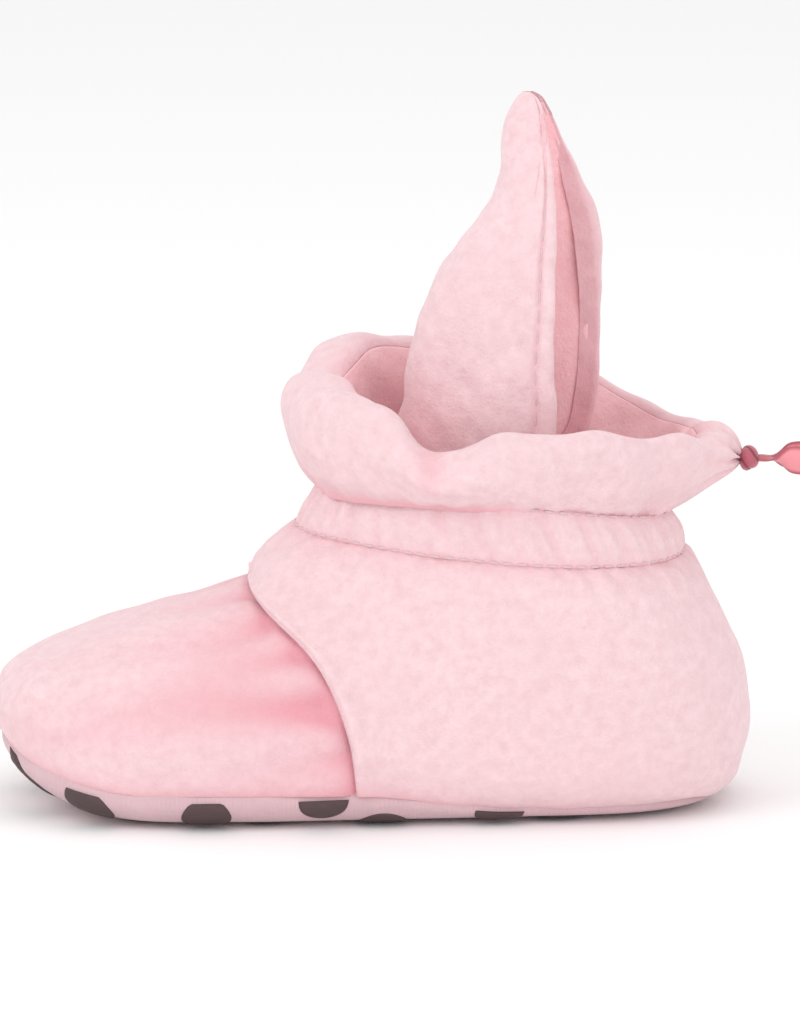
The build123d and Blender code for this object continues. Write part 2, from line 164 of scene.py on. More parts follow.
# ---- the gathers of the vamp: v, width in v, share of the depth, how far forward each reaches
VALLEYS = (
    (0.291, 0.019, 1.00, 26 * MM), (0.335, 0.013, 0.65, 18 * MM), (0.392, 0.015, 0.62, 19 * MM),
    (0.452, 0.012, 0.45, 13 * MM), (0.215, 0.016, 0.35, 11 * MM), (0.530, 0.014, 0.50, 16 * MM),
    (0.600, 0.016, 0.70, 20 * MM), (0.668, 0.014, 0.45, 14 * MM), (0.730, 0.017, 0.85, 22 * MM),
    (0.792, 0.014, 0.30, 10 * MM),
)

# ---- how thick each layer is, and how far inside the form the lining lies
VAMP_THICK, QUARTER_THICK, GATHERED_THICK = 1.3 * MM, 1.5 * MM, 1.2 * MM
TONGUE_THICK, SOLE_THICK, LINING_THICK, RIBBON_THICK = 0.5 * MM, 1.1 * MM, 0.6 * MM, 0.4 * MM
LINING_DEPTH = 2.7 * MM

# ---- small uneven swells of the cloth: a piece's first seed, then the depth and size of each field
SWELLS = {
    "vamp": (0, (0.38 * MM, 24 * MM), (0.13 * MM, 8 * MM)),
    "quarter": (2, (0.42 * MM, 26 * MM), (0.12 * MM, 8 * MM)),
    "band": (4, (0.20 * MM, 14 * MM)),
    "cuff": (5, (0.55 * MM, 17 * MM), (0.22 * MM, 8 * MM)),
    "tongue": (8, (0.42 * MM, 20 * MM), (0.12 * MM, 7 * MM)),
    "tongue_inside": (10, (0.35 * MM, 18 * MM)),
    "lining": (11, (0.30 * MM, 15 * MM)),
}

# ---- the stage: the camera, and each soft light's place, size and power
LENS, CAMERA_DISTANCE, CAMERA_RISE = 200.0, 0.9, math.radians(10.0)
CAMERA_TARGET = Vector((0.00442, 0.0, 0.0457))
SURROUND = 0.98
FLOOR_HALF, FLOOR_GAP = 3.0, 0.05 * MM
LIGHT_TARGET = Vector((0, 0, 0.04))
LIGHTS = (
    ("key", (-0.7, -0.55, 0.8), 0.6, 2.6),
    ("fill", (0.35, -0.95, 0.30), 0.9, 2.2),
    ("top", (0.05, 0.25, 0.95), 0.8, 0.7),
)


class BootieSettings(bpy.types.PropertyGroup):
    """Sizes and colours that a user would change"""

    fleece: FloatVectorProperty(
        name="Fleece", description="Colour of the outer fleece", subtype="COLOR",
        default=(0.80, 0.595, 0.620), min=0, max=1,
    )
    # painted light and shade: the inside is the same fleece as the outside, coloured a deeper and
    # brighter pink that stands in for the shade inside the bootie and the light that comes through
    # the fleece
    lining: FloatVectorProperty(
        name="Lining", description="Colour of the fleece inside", subtype="COLOR",
        default=(1.0, 0.63, 0.66), min=0, max=1,
    )
    sole: FloatVectorProperty(
        name="Sole", description="Colour of the sole's fabric", subtype="COLOR",
        default=(0.64, 0.44, 0.47), min=0, max=1,
    )
    dots: FloatVectorProperty(
        name="Dots", description="Colour of the grip dots", subtype="COLOR",
        default=(0.072, 0.042, 0.044), min=0, max=1,
    )
    ribbon: FloatVectorProperty(
        name="Ribbon", description="Colour of the satin ribbon", subtype="COLOR",
        default=(0.84, 0.30, 0.34), min=0, max=1,
    )
    pile: FloatProperty(
        name="Pile", description="How deep the fleece's pile looks", default=0.22 * MM, min=0,
        max=2 * MM, subtype="DISTANCE", unit="LENGTH",
    )
    gather: FloatProperty(
        name="Gather", description="Depth of the vamp's gathers", default=2.3 * MM, min=0,
        max=4 * MM, subtype="DISTANCE", unit="LENGTH",
    )
    puff: FloatProperty(
        name="Puff", description="How far a panel swells between its seams", default=1.0 * MM,
        min=0, max=3 * MM, subtype="DISTANCE", unit="LENGTH",
    )
    dot_radius: FloatProperty(
        name="Dot radius", description="Radius of a grip dot", default=3.9 * MM, min=1 * MM,
        max=8 * MM, subtype="DISTANCE", unit="LENGTH",
    )
    dot_pitch: FloatProperty(
        name="Dot pitch", description="Distance between dots along a row", default=18.2 * MM,
        min=5 * MM, max=40 * MM, subtype="DISTANCE", unit="LENGTH",
    )
    ribbon_width: FloatProperty(
        name="Ribbon width", description="Width of the ribbon", default=4.5 * MM, min=2 * MM,
        max=10 * MM, subtype="DISTANCE", unit="LENGTH",
    )
    light: FloatProperty(
        name="Light", description="Strength of the studio light", default=0.955, min=0, max=5,
    )
    seed: IntProperty(
        name="Seed", description="Seed of the cloth's small creases", default=7, min=0,
    )


# ------------------------------------------------------------------ numbers
def smooth_rows(rows, t):
    """The row of numbers at each t from 0 to 1 on cubic Hermite pieces through the given rows.
    The rows' knots stand as far apart as the square root of the distance between them, and each
    slope is the difference of a row's two neighbours over the difference of their knots."""
    gaps = np.sqrt(np.linalg.norm(np.diff(rows[:, :4], axis=0), axis=1) + 0.3 * MM)
    knots = np.concatenate([[0.0], np.cumsum(gaps)]) / gaps.sum()
    low = np.maximum(np.arange(len(rows)) - 1, 0)
    high = np.minimum(np.arange(len(rows)) + 1, len(rows) - 1)
    slopes = (rows[high] - rows[low]) / (knots[high] - knots[low])[:, None]
    i = np.clip(np.searchsorted(knots, t, "right") - 1, 0, len(rows) - 2)
    span = (knots[i + 1] - knots[i])[..., None]
    u = (t - knots[i])[..., None] / span
    ends = (2 * u**3 - 3 * u**2 + 1) * rows[i] + (3 * u**2 - 2 * u**3) * rows[i + 1]
    pulls = (u**3 - 2 * u**2 + u) * slopes[i] + (u**3 - u**2) * slopes[i + 1]
    return ends + span * pulls


def signed_power(value, power):
    """The value's size raised to a power, with the value's sign."""
    return np.sign(value) * np.abs(value) ** power


def bump(x, centre, width):
    """A bell that is 1 at the centre and fades over the width."""
    return np.exp(-(((x - centre) / width) ** 2))


def fade(x, length):
    """1 at x = 0, falling to 0 over a few lengths on either side."""
    return np.exp(-np.abs(x) / length)


def ramp(x, start, end):
    """0 before start, 1 past end, and smooth between."""
    u = np.clip((x - start) / (end - start), 0, 1)
    return u * u * (3 - 2 * u)


def wobble(points, size, seed, waves=10):
    """A smooth random field of about -1 to 1: sine waves of about the given size, each with a
    random direction, length and phase, added and divided by the square root of their number."""
    rng = np.random.default_rng(seed)
    ways = rng.normal(size=(waves, 3))
    lengths = rng.uniform(0.6, 1.5, (waves, 1))
    ways *= (TURN / size) * lengths / np.linalg.norm(ways, axis=1)[:, None]
    return np.sin(points @ ways.T + rng.uniform(0, TURN, waves)).sum(-1) / math.sqrt(waves)


def swells(points, name, seed):
    """The uneven swells of a named piece's cloth, from random fields with seeds of their own."""
    first, *fields = SWELLS[name]
    return sum(
        depth * wobble(points, size, seed + first + k) for k, (depth, size) in enumerate(fields)
    )


def line_height(line, x, bow):
    """The height at x of the side-view line through two (x, z) points, bowed up by a half sine."""
    (x0, z0), (x1, z1) = line
    share = (x - x0) / (x1 - x0)
    return z0 + (z1 - z0) * share + bow * np.sin(math.pi * np.clip(share, 0, 1))


def vamp_seam_x(z):
    """How far back the vamp's rear seam is at height z: a smooth curve through its points."""
    heights = np.linspace(VAMP_SEAM[-1, 1], VAMP_SEAM[0, 1], 200)
    fine = smooth_rows(np.hstack([VAMP_SEAM, VAMP_SEAM]), np.linspace(0, 1, 400))[:, :2]
    steady = np.interp(heights, fine[::-1, 1], fine[::-1, 0])
    return np.interp(z, heights, steady)


def sole_seam_z(x):
    """Height of the sole seam at x: level, lower under the heel, and ahead of its bend a circle's
    arc upwards."""
    ahead = np.clip(SOLE_BEND - x, 0, SOLE_CURVE * 0.9)
    level = SOLE_SEAM - SOLE_DROP * ramp(x, SOLE_DROP_FROM, SOLE_DROP_TO)
    return level + SOLE_CURVE - np.sqrt(SOLE_CURVE**2 - ahead**2)


# ------------------------------------------------------------------ the form
def form(t, v, depth=0.0):
    """A point of the upper's form. t runs from the toe (0) to above the ankle (1) and v once round
    each ring: 0 at the sole or heel, 0.25 at the near side, 0.5 at the instep, 0.75 at the far
    side. Each ring is a superellipse on the line from its sole point to its instep point. Taking
    it in by depth moves the two end points along the side view's normals and narrows it."""
    fine = np.linspace(0, 1, 600)
    rows = smooth_rows(RINGS, fine)
    turned = np.gradient(rows, axis=0)
    for column, side in ((0, 1.0), (2, -1.0)):
        dx, dz = turned[:, column], turned[:, column + 1]
        size = np.hypot(dx, dz) + 1e-9
        rows[:, column] += side * depth * dz / size
        rows[:, column + 1] -= side * depth * dx / size
    along = np.abs(turned[:, 0] + turned[:, 2]) / 2
    taper = along / np.hypot(along, turned[:, 4])
    rows[:, 4] -= depth * np.where(rows[:, 0] < TOE / 3, taper, 1.0)
    rows[:, 4] = np.maximum(rows[:, 4], 0)
    ring = np.stack([np.interp(t, fine, rows[:, k]) for k in range(7)], -1)
    return ring_point(ring, v)


def ring_point(ring, v):
    """The point at v of a superellipse ring given as x, z, x, z, half width and its squareness
    above and below its middle."""
    side, along = np.sin(TURN * v), -np.cos(TURN * v)
    power = np.where(along > 0, ring[..., 5], ring[..., 6])
    reach = (np.abs(side) ** power + np.abs(along) ** power) ** (-1 / power)
    top = (along > 0)[..., None]
    end = np.where(top, ring[..., 0:2], ring[..., 2:4])
    middle = ring[..., 2:4] + WIDEST_AT * (ring[..., 0:2] - ring[..., 2:4])
    place = middle + (np.abs(along) * reach)[..., None] * (end - middle)
    return np.stack([place[..., 0], -ring[..., 4] * side * reach, place[..., 1]], -1)


def first_crossing(values, axis_values):
    """Where each column of values first turns from negative to positive, by linear steps."""
    up = (values[:-1] < 0) & (values[1:] >= 0)
    i = np.argmax(up, axis=0)
    low = np.take_along_axis(values, i[None], 0)[0]
    high = np.take_along_axis(values, i[None] + 1, 0)[0]
    share = np.clip(low / (low - high - 1e-12), 0, 1)
    found = axis_values[i] + share * (axis_values[i + 1] - axis_values[i])
    return np.where(up.any(axis=0), found, axis_values[0])


class Pattern:
    """The seams of the upper, as places in t and v on the form."""

    def __init__(self):
        self.v = np.linspace(0, 1, 401)
        t = np.linspace(0, 1, 900)
        points = form(t[:, None], self.v[None, :])
        x, z = points[..., 0], points[..., 2]
        self.vamp = first_crossing(x - vamp_seam_x(z), t)
        self.vamp_end = first_crossing(x - vamp_seam_x(z) - VAMP_UNDERLAP, t)
        self.band = first_crossing(z - line_height(BAND_LINE, x, BAND_BOW), t)
        self.neck = first_crossing(z - line_height(NECK_LINE, x, NECK_BOW), t)
        self.t = t
        half = np.linspace(0, 0.5, 400)
        low = form(half[:, None] * 0 + t[None, :], half[:, None])
        over = low[..., 2] - sole_seam_z(low[..., 0])
        sharp = np.where(over[0] >= 0, 0.0, first_crossing(over, half))
        bell = np.exp(-np.linspace(-2.5, 2.5, 41) ** 2)
        self.sole = np.convolve(np.pad(sharp, 20, "edge"), bell / bell.sum(), "valid")
        under = np.nonzero(self.sole > 0.002)[0]
        self.sole_start, self.sole_end = t[under[0]], t[under[-1]]

    def at(self, name, v):
        """Where the named seam is in t, at v."""
        return np.interp(v, self.v, getattr(self, name))

    def sole_v(self, t):
        """How far round the ring from the sole's middle the sole seam is, at t."""
        return np.interp(t, self.t, self.sole)

    def panel(self, start, end, rows, columns, near=0.0, far=1.0, ease=1.0):
        """t and v on a grid from one seam to another, and round from near to far, where 0 and 1
        are the sole seam and 0.5 the instep. Both depend on each other, so each is worked out
        from the other in turn until they settle."""
        s = np.linspace(0, 1, rows)[:, None] ** ease * np.ones((1, columns))
        k = np.linspace(near, far, columns)[None, :] * np.ones((rows, 1))
        v = k.copy()
        for _ in range(40):
            first = self.at(start, v) if start else np.zeros_like(v)
            t = first + s * (self.at(end, v) - first)
            edge = self.sole_v(t)
            near_share = np.clip(1 - k / 0.42, 0, 1) ** 2
            far_share = np.clip(1 - (1 - k) / 0.42, 0, 1) ** 2
            v = 0.5 * v + 0.5 * (k + edge * (near_share - far_share))
        return t, v


# ------------------------------------------------------------------ meshes
def normals_of(points, wrap=False):
    """Unit normals of a grid of points, from the cross product of its two differences. With wrap,
    the last column goes on to the first."""
    down = np.gradient(points, axis=0)
    if wrap:
        across = (np.roll(points, -1, axis=1) - np.roll(points, 1, axis=1)) / 2
    else:
        across = np.gradient(points, axis=1)
    n = np.cross(down, across)
    size = np.linalg.norm(n, axis=-1, keepdims=True)
    return n / np.maximum(size, 1e-12)


def arc_from(points, axis, start=0):
    """Length along a grid's lines from their first point, or from their last with start=-1."""
    steps = np.linalg.norm(np.diff(points, axis=axis), axis=-1)
    lengths = np.insert(np.cumsum(steps, axis=axis), 0, 0, axis=axis)
    if start == -1:
        lengths = np.take(lengths, [-1], axis=axis) - lengths
    return lengths


def grid_faces(rows, columns, wrap=True, flip=False):
    """The faces of a grid of rows by columns points. With wrap, its columns close."""
    i, j = np.meshgrid(
        np.arange(rows - 1), np.arange(columns if wrap else columns - 1), indexing="ij"
    )
    a, b = i * columns + j, i * columns + (j + 1) % columns
    corners = [a, a + columns, b + columns, b] if flip else [a, b, b + columns, a + columns]
    return np.stack(corners, -1).reshape(-1, 4)


@contextlib.contextmanager
def edited(mesh):
    """Lends a mesh out for editing and writes it back."""
    made = bmesh.new()
    made.from_mesh(mesh)
    yield made
    made.to_mesh(mesh)
    made.free()


def put_in_scene(name, mesh, material):
    """A smooth object of a mesh, in the scene and with its material."""
    mesh.polygons.foreach_set("use_smooth", np.ones(len(mesh.polygons), bool))
    mesh.update()
    piece = bpy.data.objects.new(name, mesh)
    bpy.context.scene.collection.objects.link(piece)
    mesh.materials.append(material)
    return piece


def declare(piece, body, slot, *nodes):
    """Puts a piece on the body that carries it and hides the CAD nodes that it replaces. The slot
    is not used.
    """
    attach(piece, body)
    if nodes:
        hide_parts(*nodes)
    return piece


def add_surface(name, points, material, wrap=False, flip=False, uv=None, fold=None, closed=False):
    """A mesh piece from a grid of points, welded where points coincide. uv is a pair of grids in
    metres, and the crease mask a grid of 0 to 1 that says how far into a crease a point lies; the
    fleece paints shade there by turning its colour to a darker, deeper pink."""
    rows, columns = points.shape[:2]
    faces = grid_faces(rows, columns, wrap, flip)
    mesh = bpy.data.meshes.new(name)
    mesh.from_pydata(points.reshape(-1, 3).tolist(), [], faces.tolist())
    if fold is not None:
        layer = mesh.attributes.new("fold", "FLOAT", "POINT")
        fold = np.broadcast_to(np.clip(fold, 0, 1), points.shape[:2])
        layer.data.foreach_set("value", fold.astype(np.float32).ravel())
    if uv is not None:
        flat = np.stack([np.broadcast_to(g, points.shape[:2]) for g in uv], -1).reshape(-1, 2)
        layer = mesh.uv_layers.new(name="weave")
        layer.data.foreach_set("uv", flat[faces.ravel()].astype(np.float32).ravel())
    with edited(mesh) as made:
        bmesh.ops.remove_doubles(made, verts=made.verts, dist=2 * WELD)
        bmesh.ops.dissolve_degenerate(made, edges=made.edges, dist=WELD)
        if closed:
            bmesh.ops.recalc_face_normals(made, faces=made.faces)
    return put_in_scene(name, mesh, material)


def thicken(piece, thickness):
    """Gives a sheet its thickness on the inner side, as a live modifier."""
    solid = piece.modifiers.new("thickness", "SOLIDIFY")
    solid.thickness = thickness
    solid.offset = -1
    solid.use_even_offset = False
    return piece


def add_parts(name, points, faces, material):
    """One piece of many small equal closed bodies: points is bodies by points by 3."""
    count, size = points.shape[:2]
    every = (faces[None] + (np.arange(count) * size)[:, None, None]).reshape(-1, faces.shape[1])
    mesh = bpy.data.meshes.new(name)
    mesh.from_pydata(points.reshape(-1, 3).tolist(), [], every.tolist())
    with edited(mesh) as made:
        bmesh.ops.remove_doubles(made, verts=made.verts, dist=WELD / 2)
        bmesh.ops.recalc_face_normals(made, faces=made.faces)
    return put_in_scene(name, mesh, material)


STITCH_GRID = (7, 8)


def stitch_row(points, normals, pitch, length, radius, sink):
    """Stitches along a line: ellipsoids as long as a stitch, each lying along the line at its
    place and pressed into the cloth by sink. Returns bodies by points by 3."""
    steps = np.concatenate([[0], np.cumsum(np.linalg.norm(np.diff(points, axis=0), axis=1))])
    places = np.arange(pitch / 2, steps[-1] - pitch / 4, pitch)
    centre, up, ahead = (
        np.stack([np.interp(places, steps, values[:, k]) for k in range(3)], -1)
        for values in (points, normals, np.gradient(points, axis=0))
    )
    ahead /= np.linalg.norm(ahead, axis=1, keepdims=True)
    up -= (up * ahead).sum(1, keepdims=True) * ahead
    up /= np.linalg.norm(up, axis=1, keepdims=True)
    side = np.cross(ahead, up)
    shape = (ball(*STITCH_GRID) * np.array([length / 2, radius, radius])).reshape(-1, 3)
    axes = np.stack([ahead, side, up], 1)
    return centre[:, None] - up[:, None] * sink + np.einsum("pk,nkc->npc", shape, axes)


def sew(name, body, lines, *stitch):
    """One piece of all the stitches along some lines, each given by its points and normals."""
    stitches = np.concatenate([stitch_row(points, normals, *stitch) for points, normals in lines])
    thread = add_parts(name, stitches, grid_faces(*STITCH_GRID), finish_of("thread"))
    return declare(thread, body, "fleece")


def ball(rows, columns):
    """A grid of points on the unit ball, with its poles on the first axis."""
    a, b = np.linspace(0, math.pi, rows)[:, None], np.linspace(0, TURN, columns + 1)[None, :-1]
    return np.stack([-np.cos(a) + 0 * b, np.sin(a) * np.cos(b), np.sin(a) * np.sin(b)], -1)


# ------------------------------------------------------------------ materials
class Finish:
    """A material being made: its Principled shader, and short ways to add and join nodes."""

    def __init__(self, name):
        self.material = bpy.data.materials.new(name)
        self.material.use_nodes = True
        self.tree = self.material.node_tree
        self.tree.nodes.clear()
        self.shader = self.add("ShaderNodeBsdfPrincipled")
        output = self.add("ShaderNodeOutputMaterial")
        self.link(self.shader.outputs["BSDF"], output.inputs["Surface"])

    def link(self, source, target):
        self.tree.links.new(source, target)

    def add(self, kind, **values):
        """A node with the given input values and settings."""
        node = self.tree.nodes.new(kind)
        for key, value in values.items():
            if key in node.inputs:
                node.inputs[key].default_value = value
            else:
                setattr(node, key, value)
        return node

    def textures(self, *wanted):
        """Texture nodes that all read the same Object coordinates."""
        where = self.add("ShaderNodeTexCoord").outputs["Object"]
        nodes = [self.add("ShaderNodeTex" + kind, **values) for kind, values in wanted]
        for node in nodes:
            self.link(where, node.inputs["Vector"])
        return nodes

    def mixed(self, low, high, factor):
        """A colour mix from low to high by a factor socket; both are colours or sockets."""
        mix = self.add("ShaderNodeMix", data_type="RGBA")
        for index, value in ((6, low), (7, high)):
            if hasattr(value, "links"):
                self.link(value, mix.inputs[index])
            else:
                mix.inputs[index].default_value = (*value, 1)
        self.link(factor, mix.inputs[0])
        return mix.outputs[2]

    def ranged(self, socket, low, high, out_low=0.0, out_high=1.0):
        """Maps a socket's values from low..high to out_low..out_high."""
        node = self.add("ShaderNodeMapRange")
        self.link(socket, node.inputs["Value"])
        for key, value in zip(
            ("From Min", "From Max", "To Min", "To Max"), (low, high, out_low, out_high)
        ):
            node.inputs[key].default_value = value
        return node.outputs["Result"]

    def relief(self, height, strength, distance, over=None):
        """The normal of a bump of a height socket, laid over another bump's normal."""
        node = self.add("ShaderNodeBump", Strength=strength, Distance=distance)
        self.link(height, node.inputs["Height"])
        if over:
            self.link(over, node.inputs["Normal"])
        return node.outputs["Normal"]

    def done(self, colour, normal, **settings):
        """Joins colour and normal to the shader, sets its other sockets, and gives the material.
        A setting's underscores stand for spaces."""
        self.link(colour, self.shader.inputs["Base Color"])
        self.link(normal, self.shader.inputs["Normal"])
        for key, value in settings.items():
            self.shader.inputs[key.replace("_", " ")].default_value = value
        return self.material


def toned(colour, *shares):
    """A colour with each channel multiplied: by one share for all, or by one for each."""
    shares = shares * 3 if len(shares) == 1 else shares
    return tuple(min(1.0, c * k) for c, k in zip(colour, shares))


def fleece(name, colour, crease_shade_colour, pile, sheen=0.45):
    """Brushed fleece: matted clumps of pile over fine fibres, paler tips, and painted shade in its
    creases: a darker, deeper pink where the crease mask is high.
    """
    f = Finish(name)
    clumps, fibres, patches = f.textures(
        ("Noise", {"Scale": 520.0, "Detail": 5.0, "Roughness": 0.62}),
        ("Noise", {"Scale": 2300.0, "Detail": 3.0, "Roughness": 0.6}),
        ("Noise", {"Scale": 70.0, "Detail": 2.0, "Roughness": 0.5}),
    )
    tips = f.ranged(clumps.outputs["Fac"], 0.32, 0.68)
    lit = tuple(min(1.0, c * 1.05 + 0.015) for c in colour)
    cloth = f.mixed(toned(colour, 0.965, 0.90, 0.91), lit, tips)
    patchy = f.ranged(patches.outputs["Fac"], 0.35, 0.65, 0.0, 0.35)
    cloth = f.mixed(cloth, toned(colour, 0.985, 0.95, 0.955), patchy)
    # painted shade: the crease mask attribute mixes in the darker, deeper pink crease colour
    crease = f.add("ShaderNodeAttribute", attribute_name="fold")
    cloth = f.mixed(cloth, crease_shade_colour, crease.outputs["Fac"])
    soft = f.relief(clumps.outputs["Fac"], 0.55, pile * 2)
    fine = f.relief(fibres.outputs["Fac"], 0.5, pile, soft)
    return f.done(
        cloth, fine, Roughness=0.95, Specular_IOR_Level=0.15, Sheen_Weight=sheen,
        Sheen_Roughness=0.45, Sheen_Tint=(1.0, 0.93, 0.94, 1),
    )


def knit(name, colour, size=0.7 * MM):
    """Dense fine knit: two crossed sine waves as ribs, with a little soiling in patches."""
    f = Finish(name)
    wave = {"wave_type": "BANDS", "Scale": 1 / size / TURN * 2, "Distortion": 0.6}
    along, across, patches = f.textures(
        ("Wave", {**wave, "bands_direction": "X"}),
        ("Wave", {**wave, "bands_direction": "Y"}),
        ("Noise", {"Scale": 240.0, "Detail": 4.0}),
    )
    both = f.add("ShaderNodeMath", operation="MULTIPLY")
    f.link(along.outputs["Fac"], both.inputs[0])
    f.link(across.outputs["Fac"], both.inputs[1])
    cloth = f.mixed(toned(colour, 0.90), toned(colour, 1.06), patches.outputs["Fac"])
    cloth = f.mixed(cloth, toned(colour, 1.08), f.ranged(both.outputs[0], 0, 1, 0, 0.4))
    relief = f.relief(both.outputs[0], 0.5, 0.12 * MM)
    return f.done(cloth, relief, Roughness=0.9, Sheen_Weight=0.2)


def grip_rubber(name, colour):
    """Matte printed rubber: a pebbled face with worn, dusty high spots."""
    f = Finish(name)
    pebbles, dust = f.textures(
        ("Voronoi", {"Scale": 1500.0}), ("Noise", {"Scale": 420.0, "Detail": 5.0})
    )
    worn = f.ranged(dust.outputs["Fac"], 0.4, 0.75, 0, 0.5)
    face = f.mixed(colour, tuple(c * 1.5 + 0.01 for c in colour), worn)
    f.link(f.ranged(dust.outputs["Fac"], 0.3, 0.7, 0.55, 0.8), f.shader.inputs["Roughness"])
    return f.done(face, f.relief(pebbles.outputs["Distance"], 0.4, 0.08 * MM))


def satin(name, colour, width):
    """Woven satin ribbon: fine lengthwise threads, and a darker band along its edges, painted shade
    where the ribbon's edges turn away from the light.
    """
    f = Finish(name)
    uv = f.add("ShaderNodeUVMap", uv_map="weave").outputs["UV"]
    split = f.add("ShaderNodeSeparateXYZ")
    threads = f.add(
        "ShaderNodeTexWave", wave_type="BANDS", bands_direction="Y", Scale=1 / (0.16 * MM) / 2
    )
    for node in (split, threads):
        f.link(uv, node.inputs["Vector"])
    away = f.add("ShaderNodeMath", operation="ABSOLUTE")
    f.link(split.outputs["Y"], away.inputs[0])
    # painted shade: the outer share of the uv's second coordinate is darkened; the ribbon and knot
    # push their pinch and grooves into it too
    edge = f.ranged(away.outputs[0], width * 0.33, width * 0.45)
    cloth = f.mixed(colour, toned(colour, 0.56, 0.28, 0.34), edge)
    relief = f.relief(threads.outputs["Fac"], 0.35, 0.05 * MM)
    return f.done(cloth, relief, Roughness=0.34, Anisotropic=0.5, Sheen_Weight=0.3)


def plain_cloth(name, colour, scale, rough=0.85):
    """Tape, elastic, thread and foam: a noisy colour and a fine crossed relief."""
    f = Finish(name)
    grain, wave = f.textures(
        ("Noise", {"Scale": scale, "Detail": 4.0}),
        ("Wave", {"wave_type": "BANDS", "bands_direction": "DIAGONAL", "Scale": scale}),
    )
    cloth = f.mixed(toned(colour, 0.88), colour, grain.outputs["Fac"])
    return f.done(cloth, f.relief(wave.outputs["Fac"], 0.4, 0.1 * MM), Roughness=rough)


_made = {}


def finish_of(kind):
    """The shared material of that kind, made the first time that it is asked for."""
    if kind not in _made:
        s = bpy.context.scene.bootie
        outer, inner, ribbon = tuple(s.fleece), tuple(s.lining), tuple(s.ribbon)
        makers = {
            # the fleece's second colour is its painted crease shade
            "fleece": (fleece, "fleece_outer", outer, toned(outer, 0.97, 0.60, 0.66), s.pile),
            # lining: the Lining colour is painted light and shade of the inside, and its 0.9 copy
            # its painted crease shade
            "lining": (fleece, "fleece_inner", inner, toned(inner, 0.9), s.pile, 0.3),
            "sole": (knit, "sole_knit", tuple(s.sole)),
            "dots": (grip_rubber, "grip_rubber", tuple(s.dots)),
            "ribbon": (satin, "ribbon_satin", ribbon, s.ribbon_width),
            # knot and strands: the ribbon colour darkened, painted shade of the tightly bunched
            # ribbon
            "knot": (satin, "knot_satin", toned(ribbon, 0.56, 0.32, 0.42), s.ribbon_width),
            "thread": (plain_cloth, "thread", toned(outer, 0.97), 3000.0, 0.6),
            "elastic": (plain_cloth, "woven_elastic", (0.86, 0.84, 0.82), 900.0),
            "foam": (plain_cloth, "sole_foam", (0.90, 0.66, 0.69), 500.0, 0.95),
            "tape": (plain_cloth, "cotton_tape", toned(inner, 0.95), 1100.0),
        }
        maker, *values = makers[kind]
        _made[kind] = maker(*values)
    return _made[kind]


# ------------------------------------------------------------------ operators
class BOOTIE_OT_stage(bpy.types.Operator):
    """Make the camera, the pale floor and the soft studio light"""

    bl_idname = "bootie.stage"
    bl_label = "Stage"

    def execute(self, context):
        scene = context.scene
        camera = bpy.data.objects.new("camera", bpy.data.cameras.new("camera"))
        camera.data.lens = LENS
        camera.data.sensor_width = 36.0
        camera.data.clip_end = 10.0
        back = Vector((0.0, -math.cos(CAMERA_RISE), math.sin(CAMERA_RISE)))
        self.aim(camera, CAMERA_TARGET + back * CAMERA_DISTANCE, CAMERA_TARGET)
        scene.collection.objects.link(camera)
        scene.camera = camera
        scene.view_settings.view_transform = "Standard"
        self.floor(scene)
        self.lights(scene, scene.bootie.light)
        return {"FINISHED"}

    def aim(self, thing, place, target):
        """Puts a camera or a light at a place and turns it to a target."""
        thing.location = place
        thing.rotation_mode = "QUATERNION"
        thing.rotation_quaternion = (target - Vector(place)).to_track_quat("-Z", "Y")

    def floor(self, scene):
        """A wide pale plane that just clears the dots."""
        mesh = bpy.data.meshes.new("floor")
        w, z = FLOOR_HALF, -FLOOR_GAP
        mesh.from_pydata([(-w, -w, z), (w, -w, z), (w, w, z), (-w, w, z)], [], [(0, 1, 2, 3)])
        floor = bpy.data.objects.new("floor", mesh)
        pale = Finish("pale_floor")
        pale.shader.inputs["Base Color"].default_value = (0.97, 0.97, 0.97, 1)
        pale.shader.inputs["Roughness"].default_value = 0.8
        mesh.materials.append(pale.material)
        scene.collection.objects.link(floor)

    def lights(self, scene, strength):
        """Large soft panels at the left, the right and above, and an even white surround."""
        world = bpy.data.worlds.new("studio")
        world.use_nodes = True
        sky = world.node_tree.nodes["Background"]
        sky.inputs["Color"].default_value = (1, 1, 1, 1)
        sky.inputs["Strength"].default_value = SURROUND * strength
        scene.world = world
        for name, place, size, power in LIGHTS:
            lamp = bpy.data.lights.new(name, "AREA")
            lamp.size = size
            lamp.energy = power * strength
            light = bpy.data.objects.new(name, lamp)
            self.aim(light, place, LIGHT_TARGET)
            scene.collection.objects.link(light)


